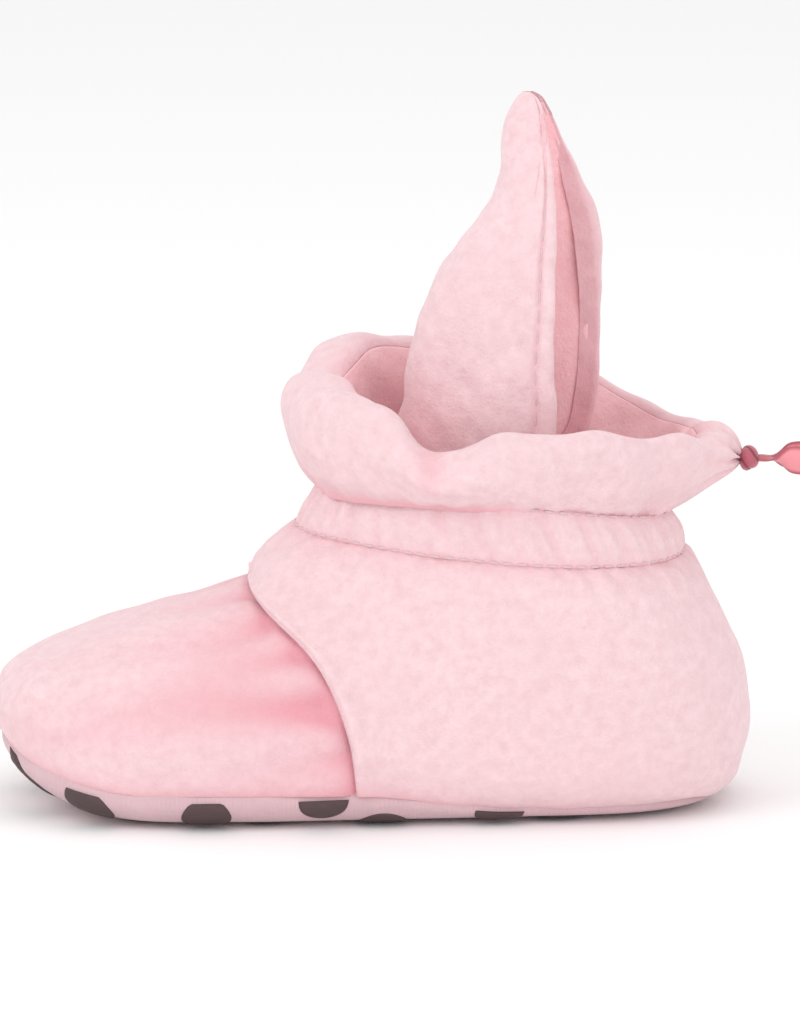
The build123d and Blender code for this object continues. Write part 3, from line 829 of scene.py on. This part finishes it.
class BOOTIE_OT_ribbon(bpy.types.Operator):
    """Tie the ribbon's knot at the cuff's back and lay the ribbon's loop beyond it"""

    bl_idname = "bootie.ribbon"
    bl_label = "Ribbon"

    def execute(self, context):
        width = context.scene.bootie.ribbon_width
        half = [(x, y, EXIT.z) for x, y in RIBBON_ROUTE]
        route = half + [(x, -y, z) for x, y, z in reversed(half)]
        path = self.follow(route)
        loop = declare(self.band(path, width), "drawstring", "satin_ribbon", "ribbon_loop")
        knot = declare(self.knot(width), "drawstring", "satin_ribbon", "ribbon_knot")
        declare(self.strands(), "drawstring", "satin_ribbon", "ribbon_strands")
        return {"FINISHED"}

    def follow(self, route):
        """Points along the NURBS spline whose control points are the route."""
        curve = bpy.data.curves.new("ribbon_line", "CURVE")
        curve.dimensions = "3D"
        spline = curve.splines.new("NURBS")
        spline.points.add(len(route) - 1)
        for point, place in zip(spline.points, route):
            point.co = (*place, 1)
        spline.order_u = 3
        spline.use_endpoint_u = True
        spline.resolution_u = 24
        holder = bpy.data.objects.new("ribbon_line", curve)
        mesh = bpy.data.meshes.new_from_object(holder)
        path = np.zeros(len(mesh.vertices) * 3)
        mesh.vertices.foreach_get("co", path)
        bpy.data.meshes.remove(mesh)
        bpy.data.objects.remove(holder)
        bpy.data.curves.remove(curve)
        return path.reshape(-1, 3)

    def band(self, path, width):
        """A flat ribbon along the path. Its width stands upright, is pinched at the knot and turns
        a quarter about the path there, and its section is a thin lens that cups a little."""
        steps = np.concatenate([[0], np.cumsum(np.linalg.norm(np.diff(path, axis=0), axis=1))])
        s = np.linspace(0, steps[-1], 260)
        line = np.stack([np.interp(s, steps, path[:, k]) for k in range(3)], -1)
        ahead = np.gradient(line, axis=0)
        ahead /= np.linalg.norm(ahead, axis=1, keepdims=True)
        up = np.array([0.0, 0.0, 1.0])
        side = np.cross(ahead, up)
        from_end = np.minimum(s, steps[-1] - s)
        turn = math.radians(115) * (1 - ramp(from_end, 0.6 * MM, 5.6 * MM))
        turn *= np.where(s < steps[-1] / 2, 1, -1)
        wide = np.cos(turn)[:, None] * up + np.sin(turn)[:, None] * side
        face = np.cross(wide, ahead)
        full = width * (0.34 + 0.66 * ramp(from_end, 0.5 * MM, 6.5 * MM))
        q = np.linspace(0, TURN, 28, endpoint=False)[None, :]
        across = signed_power(np.cos(q), 0.8) * full[:, None] / 2
        lean = 0.22 * MM * np.sin(q)
        cup = 0.5 * MM * (1 - (2 * across / full[:, None]) ** 2)
        cup *= ramp(from_end, 0, 8 * MM)[:, None]
        ripple = 0.18 * MM * np.sin(s / steps[-1] * 9 * math.pi)[:, None] * (2 * across / width)
        lift = (lean + cup + ripple)[..., None]
        points = line[:, None] + across[..., None] * wide[:, None] + lift * face[:, None]
        # painted shade: near the knot the uv is pushed into the satin's dark edge band, darkening
        # the pinched ribbon
        pinched = 1 - ramp(from_end, 1.5 * MM, 6 * MM)
        uv = (s[:, None] * np.ones_like(across), np.abs(across) + 0.42 * width * pinched[:, None])
        piece = add_surface("ribbon", points, finish_of("ribbon"), wrap=True, uv=uv)
        close_ends(piece)
        return piece

    def strands(self):
        """The two strands behind the knot: flat tubes side by side that narrow towards it."""
        low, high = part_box("ribbon_strands")
        u = np.linspace(0, 1, 24)[:, None]
        b = np.linspace(0, TURN, 16, endpoint=False)[None, :]
        open_end = (u > 0) & (u < 1)
        high_at = (1.5 - 0.75 * u) * MM * open_end
        shapes = []
        for side in (-1, 1):
            x = low.x + (high.x - low.x) * u + 0 * b
            y = side * 0.42 * MM + 0.24 * MM * np.cos(b) * open_end
            z = EXIT.z + high_at * np.sin(b)
            shapes.append(np.stack([x, y + 0 * x, z], -1).reshape(-1, 3))
        # the strands take the knot's darkened ribbon colour, painted shade
        return add_parts("strands", np.stack(shapes), grid_faces(24, 16), finish_of("knot"))

    def knot(self, width):
        """A small tight knot: a ball whose radius swells along three slanted wraps of ribbon."""
        a, b = np.linspace(0, math.pi, 60)[:, None], np.linspace(0, TURN, 97)[None, :-1]
        centre = np.array([(KNOT_LOW.x + KNOT_HIGH.x) / 2 - 0.1 * MM, 0, EXIT.z])
        radii = np.array(KNOT_HIGH - KNOT_LOW) / 2
        wraps = np.abs(np.sin(1.5 * b + 2.1 * np.cos(a)))
        second = np.abs(np.cos(b - 1.7 * a + 0.6))
        swell = 0.84 + 0.20 * wraps**0.7 * np.sin(a) + 0.08 * second**3 * np.sin(a)
        points = centre + ball(60, 96) * radii * swell[..., None] * np.array([1.05, 1.0, 1.0])
        # painted shade: between the wraps the uv reaches the satin's dark edge band, darkening the
        # knot's grooves
        uv = (a * 2 * MM, (1.15 - wraps) * width * 0.5)
        return add_surface("knot", points, finish_of("knot"), wrap=True, uv=uv, closed=True)


def close_ends(piece):
    """Fills the open ends of a tube-like piece, so that it is a closed body facing outwards."""
    with edited(piece.data) as made:
        rim = [edge for edge in made.edges if edge.is_boundary]
        bmesh.ops.holes_fill(made, edges=rim)
        bmesh.ops.recalc_face_normals(made, faces=made.faces)


def seam_tuck(distance, depth, width):
    """How far cloth is pulled in at a distance from a seam."""
    return -depth * np.exp(-distance / width)


class BOOTIE_OT_upper(bpy.types.Operator):
    """Sew the vamp and the two quarters"""

    bl_idname = "bootie.upper"
    bl_label = "Upper"

    def execute(self, context):
        s = context.scene.bootie
        pattern = Pattern()
        vamp = declare(self.vamp(pattern, s), "shoe", "fleece", "vamp")
        for name, near, far in (("quarter_left", 0.0, 0.5), ("quarter_right", 0.5, 1.0)):
            panel = declare(self.quarter(pattern, s, name, near, far), "shoe", "fleece", name)
        return {"FINISHED"}

    def vamp(self, pattern, s):
        """The toe's panel: the form from the toe to a little past the rear seam, swollen between
        the seams, with valleys that fan forward from the rear seam and fade."""
        t, v = pattern.panel(None, "vamp_end", 210, 190, ease=0.8)
        points = form(t, v)
        ahead = vamp_seam_x(points[..., 2]) - points[..., 0]
        rise = np.minimum(arc_from(points, 1), arc_from(points, 1, -1))
        gather = np.zeros_like(t)
        for middle, width, share, reach in VALLEYS:
            drift = middle + 0.010 * np.sin(ahead / (9 * MM) + middle * 40)
            wide = width * (1 + 0.8 * ramp(ahead, 0, reach))
            gather += share * bump(v, drift, wide) * fade(ahead, reach)
        near_seam = ramp(ahead, -1 * MM, 2.5 * MM)
        ridges = 0.35 * fade(ahead, 9 * MM) * near_seam
        d = s.puff * 0.8 * ramp(rise, 0, 9 * MM) + s.gather * (ridges - gather * near_seam)
        d += seam_tuck(rise, 0.5 * MM, 1.4 * MM)
        d += seam_tuck(np.maximum(ahead, 0), 0.9 * MM, 3.0 * MM)
        d += swells(points, "vamp", s.seed)
        points = points + normals_of(points) * d[..., None]
        # painted shade: deeper pink in the gathers' valleys, along the sole seam and towards the
        # rear seam
        fold = 1.1 * gather * near_seam + 0.6 * np.exp(-rise / (1.6 * MM))
        fold += 0.6 * fade(ahead, 1.8 * MM) + 0.35 * fade(ahead, 11 * MM)
        piece = add_surface("vamp", points, finish_of("fleece"), flip=True, fold=fold)
        return thicken(piece, VAMP_THICK)

    def quarter(self, pattern, s, name, near, far):
        """A side panel: the form from the vamp's seam to the ankle band. Its front edge stands
        proud of the vamp with a rolled lip, and it is pulled in at its other seams."""
        t, v = pattern.panel("vamp", "band", 190, 170, near, far)
        points = form(t, v)
        behind = np.maximum(points[..., 0] - vamp_seam_x(points[..., 2]), 0)
        foot, middle = arc_from(points, 1), arc_from(points, 1, -1)
        if near:
            foot, middle = middle, foot
        top = arc_from(points, 0, -1)
        lip = 1.15 * MM * bump(behind, 0, 7 * MM) + 0.45 * MM * bump(behind, 1.3 * MM, 1.3 * MM)
        lip -= 0.9 * MM * bump(behind, 0, 0.5 * MM)
        around = TURN * v
        drawn = np.sin(23 * around + 2 * np.sin(5 * around)) + 0.7 * np.sin(37 * around + 1.3)
        lip *= 0.3 + 0.7 * ramp(foot, 0, 7 * MM)
        lip *= 1 - 0.8 * bump(middle, 0, 9 * MM)
        d = lip + s.puff * 0.7 * ramp(foot, 0, 8 * MM) * ramp(top, 0, 6 * MM)
        d += seam_tuck(foot, 0.5 * MM, 1.4 * MM) + seam_tuck(top, 0.6 * MM, 1.6 * MM)
        d += seam_tuck(middle, 0.55 * MM, 1.0 * MM) * ramp(behind, 0, 3 * MM)
        d += 0.30 * MM * drawn * fade(top, 5.5 * MM) * ramp(top, 0, 1.5 * MM)
        d += swells(points, "quarter", s.seed)
        points = points + normals_of(points) * d[..., None]
        # painted shade: deeper pink along the sole seam, the ankle band's seam and the instep edge
        # where the quarters meet
        fold = 0.6 * np.exp(-foot / (1.4 * MM)) + 0.4 * np.exp(-top / (1.3 * MM))
        fold += 0.35 * np.exp(-middle / (0.8 * MM))
        piece = add_surface(name, points, finish_of("fleece"), flip=True, fold=fold)
        return thicken(piece, QUARTER_THICK)


class BOOTIE_OT_band(bpy.types.Operator):
    """Gather the elasticated ankle band between its two rows of stitching"""

    bl_idname = "bootie.band"
    bl_label = "Ankle band"

    def execute(self, context):
        s = context.scene.bootie
        pattern = Pattern()
        v = np.linspace(0, 1, 721)[None, :-1]
        share = np.linspace(-0.06, 1.06, 46)[:, None]
        low, high = pattern.at("band", v), pattern.at("neck", v)
        t = low + share * (high - low)
        points = form(t, v + 0 * share)
        around = TURN * v
        swell = np.clip(np.sin(np.pi * np.clip(share, 0, 1)), 0, 1) ** 0.7
        gathers = (
            np.sin(31 * around + 2.2 * np.sin(3 * around))
            + 0.8 * np.sin(47 * around + 1.7 * np.sin(4 * around + 1))
            + 0.5 * np.sin(68 * around + 0.4)
        )
        lean = gathers * (0.55 + 0.45 * np.sin(np.pi * share + 0.4 * np.sin(9 * around)))
        tuck = ramp(-share, 0, 0.06) + ramp(share - 1, 0, 0.06)
        d = (0.85 * swell - 0.45 - 1.3 * tuck) * MM + 0.20 * MM * lean * (0.35 + 0.65 * swell)
        d += swells(points, "band", s.seed)
        points = points + normals_of(points, True) * d[..., None]
        # painted shade: deeper pink along both stitched edges and in the gathers' valleys
        fold = 0.4 * (1 - swell) ** 2 + 0.10 * np.clip(-lean, 0, 1)
        band = add_surface("ankle_band", points, finish_of("fleece"), True, True, fold=fold)
        declare(thicken(band, GATHERED_THICK), "shoe", "fleece", "ankle_band")
        lines = []
        for at in (0.02, 0.98):
            row = np.argmin(np.abs(share[:, 0] - at))
            ring, up = points[row], normals_of(points, True)[row]
            lines.append((np.vstack([ring, ring[:1]]), np.vstack([up, up[:1]])))
        sew("band_stitches", "shoe", lines, 2.3 * MM, 1.7 * MM, 0.21 * MM, -0.06 * MM)
        return {"FINISHED"}


class BOOTIE_OT_cuff(bpy.types.Operator):
    """Roll the puffy cuff and draw it to a point at the back"""

    bl_idname = "bootie.cuff"
    bl_label = "Cuff"

    def execute(self, context):
        s = context.scene.bootie
        share = np.linspace(0, 1, 150)[:, None]
        v = np.linspace(0, 1, 521)[None, :-1]
        points = self.rolled(share, v)
        points, fold = self.shape(points, share, v, s)
        split = int(FACING_FROM * len(points))
        for name, rows, kind, node, slot in (
            ("cuff", slice(0, split + 1), "fleece", "cuff_outer", "fleece"),
            # the cuff's facing takes the lining colour, painted shade of the roll's inside
            ("cuff_facing", slice(split, None), "lining", "cuff_facing", "fleece_lining"),
        ):
            piece = add_surface(name, points[rows], finish_of(kind), True, True, fold=fold[rows])
            declare(thicken(piece, GATHERED_THICK), "shoe", slot, node)
        self.channel_ribbon(points)
        return {"FINISHED"}

    def channel_ribbon(self, points):
        """The ribbon inside the roll: between its outer and inner walls, open at the back."""
        rows, columns = points.shape[:2]
        outer, inner = points[int(0.30 * rows)], points[int(0.84 * rows)]
        centre = (0.6 * outer + 0.4 * inner)[int(0.14 * columns) : int(0.86 * columns)]
        height = np.linspace(-1.5 * MM, 1.5 * MM, 5)[:, None, None] * np.array([0.0, 0.0, 1.0])
        ribbon = add_surface("channel_band", centre[None] + height, finish_of("ribbon"), flip=True)
        declare(thicken(ribbon, RIBBON_THICK), "shoe", "satin_ribbon", "channel_ribbon")

    def rolled(self, share, v):
        """The cuff's rings in turn, each a flat superellipse from its front to its back point. v is
        0 at the back, 0.25 at the near side, 0.5 at the front and 0.75 at the far side."""
        ring = smooth_rows(CUFF_RINGS, share + 0 * v)
        along, side = -np.cos(TURN * v), np.sin(TURN * v)
        back = along < 0
        power = 2 / np.where(back, ring[..., 5], 2.2)
        front_point, back_point = ring[..., 0:2], ring[..., 2:4]
        middle = (front_point + back_point) / 2
        end = np.where(back[..., None], back_point, front_point)
        place = middle + (np.abs(along) ** power)[..., None] * (end - middle)
        y = -ring[..., 4] * signed_power(side, power)
        return np.stack([place[..., 0], y, place[..., 1]], -1)

    def shape(self, points, share, v, s):
        """Dips the rim into a notch on the near side, puffs the roll into uneven lobes, and pleats
        it towards the point where the ribbon draws it together."""
        x = points[..., 0]
        near = (points[..., 1] < 0).astype(float)
        height = ramp(share, 0.12, 0.5) * (1 - 0.75 * ramp(share, 0.62, 1.0))
        notch = bump(x, 9.5 * MM, 7.5 * MM) * near * ramp(-points[..., 1], 8 * MM, 18 * MM)
        steep = bump(x, -2.5 * MM, 5.5 * MM) * near * ramp(-points[..., 1], 6 * MM, 15 * MM)
        far = ramp(points[..., 1], 2 * MM, 16 * MM) * (1 - ramp(x, 34 * MM, 50 * MM))
        drop = (7.0 * MM * notch + 2.6 * MM * steep - 3.5 * MM * far) * height
        sides = np.sin(TURN * v) ** 2 * (1 - ramp(share, 0.0, 0.35))
        drop = drop - 2.4 * MM * sides
        sway = 0.9 * MM * np.sin(TURN * v * 3 + 0.7) + 0.6 * MM * np.sin(TURN * v * 5 + 2.0)
        points = points.copy()
        drawn = 1 - 0.9 * ramp(x, 36 * MM, 54 * MM)
        points[..., 2] += sway * height * drawn - drop
        out = normals_of(points, True)
        lobes = swells(points, "cuff", s.seed)
        grip = ramp(share, 0.0, 0.14) * ramp(1 - share, 0.0, 0.14)
        tip = np.array([KNOT_LOW.x + 0.3 * MM, 0.0, EXIT.z])
        away = np.linalg.norm(points - tip, axis=-1)
        spoke = np.arctan2(points[..., 2] - tip[2], points[..., 1])
        pleat = np.cos(9 * spoke + 1.5 * np.sin(2 * spoke)) * np.exp(-away / (7 * MM))
        neck = np.sin(29 * TURN * v + 2 * np.sin(4 * TURN * v)) * bump(share, 0.1, 0.09)
        d = lobes * grip + 0.75 * MM * pleat * grip + 0.22 * MM * neck
        crease = bump(x, 9.0 * MM, 2.4 * MM) * near * height
        crease *= ramp(-points[..., 1], 10 * MM, 18 * MM)
        d -= 1.1 * MM * crease * (1 - ramp(share, 0.45, 0.7))
        points = points + out * d[..., None]
        # painted shade: deeper pink at the neck seam, in the pleats' valleys, in the near-side
        # crease and over the rim towards the roll's inside
        fold = 0.8 * bump(share, 0, 0.07) + 0.35 * np.clip(-pleat, 0, 1) + 0.4 * crease
        fold = fold + 0.5 * ramp(share, 0.55, 0.72)
        return points, fold


class BOOTIE_OT_tongue(bpy.types.Operator):
    """Fold the tall tongue lengthwise and hem its free edge"""

    bl_idname = "bootie.tongue"
    bl_label = "Tongue"

    def execute(self, context):
        s = context.scene.bootie
        levels = np.linspace(0, 1, 230)[:, None]
        # round the section: 0..1 is the outside from the near hem over the front to the far hem
        q = np.linspace(-2 * HEM_TURN, 1 + 2 * HEM_TURN, 260)[None, :]
        outside, fold = self.section(levels, q, s)
        outer = add_surface("tongue", outside, finish_of("fleece"), flip=True, fold=fold)
        inner_q = np.linspace(0.022, 0.978, 180)[None, :]
        inside = self.inner(levels * 0.94, inner_q, s)
        inner = add_surface("tongue_inside", inside, finish_of("lining"))
        for piece in (outer, inner):
            solid = thicken(piece, TONGUE_THICK).modifiers["thickness"]
            solid.vertex_group = self.full_group(piece).name
            solid.thickness_vertex_group = 0.05
        for piece, nodes, slot, area in (
            (outer, ("tongue_outer", "tongue_binding"), "fleece", 0.0045),
            (inner, ("tongue_inner",), "fleece_lining", 0.0032),
        ):
            declare(piece, "tongue", slot, *nodes)
        out, lines = normals_of(outside), []
        for at in (HEM_STITCHES_AT, 1 - HEM_STITCHES_AT):
            column = int(np.argmin(np.abs(q[0] - at)))
            lines.append((outside[30:215, column], out[30:215, column]))
        sew("hem_stitches", "tongue", lines, 3.2 * MM, 2.2 * MM, 0.17 * MM, -0.05 * MM)
        return {"FINISHED"}

    def full_group(self, piece):
        """A vertex group that is 1 along the tongue and 0 at its tip, where the layers run thin."""
        group = piece.vertex_groups.new(name="full")
        top = TONGUE_ROWS[-1, 0]
        for vertex in piece.data.vertices:
            group.add([vertex.index], float(ramp(top - vertex.co.z, 0.5 * MM, 10 * MM)), "REPLACE")
        return group

    def slimness(self, levels):
        """1 along the tongue, falling to a quarter towards its tip."""
        return 0.25 + 0.75 * ramp(1 - levels, 0.0, 0.3)

    def half_width(self, levels):
        """How far each wing stands from the middle plane at a level."""
        return smooth_rows(TONGUE_ROWS[:, TONGUE_COLUMNS], levels)[..., 4]

    def fold_line(self, levels, q, shrink):
        """The U of a level: from the near hem round the front bend to the far hem. Each wing is a
        quarter of a superellipse from the front to its hem, taken in by shrink."""
        row = smooth_rows(TONGUE_ROWS[:, TONGUE_COLUMNS], levels + 0 * q)
        front = np.minimum(row[..., 0] + shrink, row[..., 2] - 0.4 * MM)
        half = np.maximum(row[..., 4] - shrink, 0.15 * row[..., 4])
        hem = np.where(q < 0.5, row[..., 2] - 1.0 * MM * self.slimness(levels), row[..., 3])
        hem -= 0.4 * MM * ramp(1 - levels, 0.0, 0.12)
        angle = np.clip(np.abs(2 * q - 1), 0, 1) * math.pi / 2
        reach = 1 - np.cos(angle) ** 1.15
        x = front + (hem - front) * reach
        y = half * np.sin(angle) ** 0.82 * np.sign(q - 0.5)
        return np.stack([x, y, row[..., 5]], -1)

    def section(self, levels, q, s):
        """The outer layer: over the U, round each hem as a half circle, and a little way back along
        the inside. Past 0 and 1, q runs round the hem and then inwards."""
        points = self.fold_line(levels, np.clip(q, 0, 1), 0.0)
        over = np.maximum(-q, 0) + np.maximum(q - 1, 0)
        side = np.sign(q - 0.5)
        room = 0.20 * self.half_width(levels + 0 * q)
        hem_radius = np.minimum(1.35 * MM * self.slimness(levels), room)
        hem_radius = hem_radius * ramp(1 - levels, 0.0, 0.05)
        turn = np.clip(over / HEM_TURN, 0, 1) * math.pi
        inward = -side * hem_radius * (1 - np.cos(turn))
        onward = hem_radius * np.sin(turn)
        back = np.clip(over / HEM_TURN - 1, 0, 1) * 2.6 * MM * ramp(1 - levels, 0.04, 0.3)
        points[..., 0] += onward - back
        points[..., 1] += inward
        out = normals_of(points)
        flat = np.clip(q, 0, 1)
        hem = bump(np.minimum(flat, 1 - flat), HEM_STITCHES_AT, 0.010)
        d = swells(points, "tongue", s.seed)
        d = (d - 0.45 * MM * hem) * ramp(1 - levels, 0.0, 0.1)
        points = points + out * d[..., None]
        # painted shade: deeper pink low on the tongue where it stands in the cuff, in the stitch
        # groove by each hem and on the turned-in strip
        base_shade = 0.45 * (1 - ramp(levels, 0.30, 0.55)) * ramp(flat, 0.12, 0.35)
        fold = 0.3 * hem + 0.35 * ramp(over, 0.03, 0.12) + base_shade
        return points, fold

    def inner(self, levels, q, s):
        """The inner layer: the same U, taken in by the tongue's thickness."""
        taken = np.minimum(2.1 * MM * self.slimness(levels), 0.34 * self.half_width(levels + 0 * q))
        points = self.fold_line(levels, q, taken)
        out = normals_of(points)
        d = swells(points, "tongue_inside", s.seed) * ramp(1 - levels, 0.0, 0.1)
        return points + out * d[..., None]


class BOOTIE_OT_lining(bpy.types.Operator):
    """Line the inside and lay the padded insole"""

    bl_idname = "bootie.lining"
    bl_label = "Lining"

    def execute(self, context):
        s = context.scene.bootie
        pattern = Pattern()
        t, v = pattern.panel(None, "neck", 150, 200, ease=0.9)
        points = form(t, v, LINING_DEPTH)
        d = swells(points, "lining", s.seed)
        points = points + normals_of(points) * d[..., None]
        lining = thicken(add_surface("lining", points, finish_of("lining")), LINING_THICK)
        linings = ("vamp_lining", "quarter_lining_left", "quarter_lining_right", "band_lining")
        declare(lining, "shoe", "fleece_lining", *linings)
        self.insole()
        return {"FINISHED"}

    def insole(self):
        """A soft pad: its plan is a superellipse, its top is crowned and falls at the rim."""
        low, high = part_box("insole")
        r, a = np.linspace(0, 1, 60)[:, None], np.linspace(0, TURN, 161)[None, :-1]
        centre = (low + high) / 2
        reach = np.array([(high.x - low.x) / 2, (high.y - low.y) / 2])
        x = centre.x + reach[0] * r * signed_power(np.cos(a), 0.82)
        y = reach[1] * r * signed_power(np.sin(a), 0.82) * (1 - 0.10 * ramp(x, -0.01, 0.05))
        thick = high.z - low.z
        z = low.z + thick * (0.25 + 0.75 * (1 - r**6)) + 0.15 * MM * np.sin(x / (6 * MM)) * (1 - r)
        top = np.stack([x, y, z], -1)
        under = top[::-1].copy()
        under[..., 2] = low.z
        points = np.concatenate([top, under])
        pad = add_surface("insole", points, finish_of("lining"), wrap=True, closed=True)
        declare(pad, "shoe", "fleece_lining", "insole")


class BOOTIE_OT_sole(bpy.types.Operator):
    """Wrap the sole's fabric up the sides and print the grip dots on it"""

    bl_idname = "bootie.sole"
    bl_label = "Sole"

    def execute(self, context):
        s = context.scene.bootie
        grid = self.skin(Pattern())
        points, fold = self.dressed(grid)
        sole = add_surface("outsole", points, finish_of("sole"), flip=True, fold=fold)
        declare(thicken(sole, SOLE_THICK), "shoe", "sole_fabric", "outsole")
        declare(self.dots(points, s), "shoe", "grip_rubber", "grip_dots")
        return {"FINISHED"}

    def skin(self, pattern):
        """The form below the sole seam, on a grid that narrows to a point at each end."""
        share = (1 - np.cos(np.linspace(0, math.pi, 260)))[:, None] / 2
        k = np.linspace(-1.05, 1.05, 190)[None, :]
        t = pattern.sole_start + share * (pattern.sole_end - pattern.sole_start)
        edge = pattern.sole_v(t)
        v = np.mod(edge * k, 1.0)
        return form(t + 0 * k, v)

    def dressed(self, points):
        """Presses the underside flat and tucks the rim into the seam."""
        rise = np.minimum(arc_from(points, 1), arc_from(points, 1, -1))
        d = seam_tuck(rise, 1.0 * MM, 1.4 * MM) + 0.35 * MM * bump(rise, 2.6 * MM, 1.8 * MM)
        points = points + normals_of(points) * d[..., None]
        soft = 0.5 * MM
        z = points[..., 2] - FLOOR
        points[..., 2] = FLOOR + soft * np.logaddexp(0, z / soft)
        # painted crease shade mask along the seam; the sole's knit finish does not read it
        fold = 0.7 * np.exp(-rise / (0.9 * MM))
        return points, fold

    def dots(self, points, s):
        """Domed discs in staggered rows, printed on the cloth a little askew. Each disc is laid at
        an x and a girth, the length round the sole from its middle. A disc that reaches past the
        seam is cut there by pressing its points back to the seam."""
        lines = arc_from(points, 1)
        centre = points.shape[1] // 2
        girth = lines - (lines[:, [centre]] + lines[:, [centre - 1]]) / 2
        spine = points[:, centre, 0]
        out = normals_of(points)
        rho = np.array([0.0, 0.35, 0.65, 0.85, 0.95, 1.0, 1.0])[:, None]
        rise = np.array([1.0, 0.98, 0.93, 0.82, 0.6, 0.25, -0.9])[:, None] * 0.38 * MM
        a = np.linspace(0, TURN, 33)[None, :-1]
        shapes = []
        for row in range(-4, 5):
            for k in range(-4, 4):
                x0 = DOTS_FROM + (k + 0.5 * (row % 2)) * s.dot_pitch
                g0 = row * DOT_ROW_GAP + DOTS_ASKEW * (x0 + 25 * MM)
                x = x0 + s.dot_radius * rho * np.cos(a)
                g = g0 + s.dot_radius * rho * np.sin(a)
                limit = np.interp(x0, spine, girth[:, -1])
                hidden = x0 < 22 * MM or abs(g0) < limit - 6 * MM
                if spine[6] < x0 < spine[-8] and abs(g0) < limit + 1.4 * MM and hidden:
                    shapes.append(self.on_sole(points, out, girth, spine, x, g, rise + 0 * a))
        faces = grid_faces(len(rho), a.shape[1])
        return add_parts("grip_dots", np.stack(shapes), faces, finish_of("dots"))

    def on_sole(self, points, out, girth, spine, x, g, rise):
        """The points of the sole at x and girth g, lifted along its normal by rise. The row of the
        grid that holds a point is found by stepping along the rows until its x is right."""
        last = len(points) - 1.001
        rate = 1 / np.maximum(np.gradient(spine), 0.02 * MM)
        edge = girth[:, -1] * 0.95 - 0.5 * MM
        i = np.clip(np.interp(x, spine, np.arange(len(spine))), 0, last)
        for _ in range(12):
            here = self.sample(points, girth, i, self.held(g, edge, i))
            i = np.clip(i + 0.7 * (x - here[..., 0]) * rate[i.astype(int)], 0, last)
        g = self.held(g, edge, i)
        lifted = self.sample(points, girth, i, g) + self.sample(out, girth, i, g) * rise[..., None]
        return lifted.reshape(-1, 3)

    def held(self, g, edge, i):
        """The girth, kept inside the seam."""
        room = np.interp(i, np.arange(len(edge)), edge)
        return np.clip(g, -room, room)

    def sample(self, values, girth, i, g):
        """Values of the sole's grid at fractional row i and girth g, by linear steps."""
        low = i.astype(int)
        share = (i - low)[..., None]

        def at(row):
            lines = girth[row]
            j = (lines < g[..., None]).sum(-1).clip(1, girth.shape[1] - 1)
            a, b = (np.take_along_axis(lines, j[..., None] - k, -1) for k in (1, 0))
            u = np.clip((g[..., None] - a) / np.maximum(b - a, 1e-9), 0, 1)
            return values[row, j - 1] * (1 - u) + values[row, j] * u

        return at(low) * (1 - share) + at(low + 1) * share


class BOOTIE_OT_inner_parts(bpy.types.Operator):
    """Give the hidden CAD parts their finishes"""

    bl_idname = "bootie.inner_parts"
    bl_label = "Inner parts"

    def execute(self, context):
        finishes = {
            "ankle_elastic": "elastic",
            "midsole_foam": "foam",
            "throat_tape": "tape",
            "heel_tape": "tape",
            "tongue_seam_roll": "tape",
        }
        for node, kind in finishes.items():
            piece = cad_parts[node]
            piece.data.materials.clear()
            piece.data.materials.append(finish_of(kind))
        return {"FINISHED"}


class BOOTIE_PT_panel(bpy.types.Panel):
    """Lists the bootie's pieces and settings"""

    bl_idname = "BOOTIE_PT_panel"
    bl_label = "Bootie"
    bl_space_type = "VIEW_3D"
    bl_region_type = "UI"
    bl_category = "Bootie"

    def draw(self, context):
        column = self.layout.column()
        for operator in OPERATORS:
            column.operator(operator.bl_idname)
        for name in BootieSettings.__annotations__:
            column.prop(context.scene.bootie, name)


OPERATORS = (
    BOOTIE_OT_stage, BOOTIE_OT_ribbon, BOOTIE_OT_upper, BOOTIE_OT_band, BOOTIE_OT_cuff,
    BOOTIE_OT_tongue, BOOTIE_OT_lining, BOOTIE_OT_sole, BOOTIE_OT_inner_parts,
)
CLASSES = (BootieSettings, *OPERATORS, BOOTIE_PT_panel)


def register():
    for item in CLASSES:
        bpy.utils.register_class(item)
    bpy.types.Scene.bootie = PointerProperty(type=BootieSettings)


def unregister():
    del bpy.types.Scene.bootie
    for item in reversed(CLASSES):
        bpy.utils.unregister_class(item)


def main():
    register()
    for operator in OPERATORS:
        group, name = operator.bl_idname.split(".")
        getattr(getattr(bpy.ops, group), name)()
    bpy.context.view_layer.update()


if __name__ == "__main__":
    main()
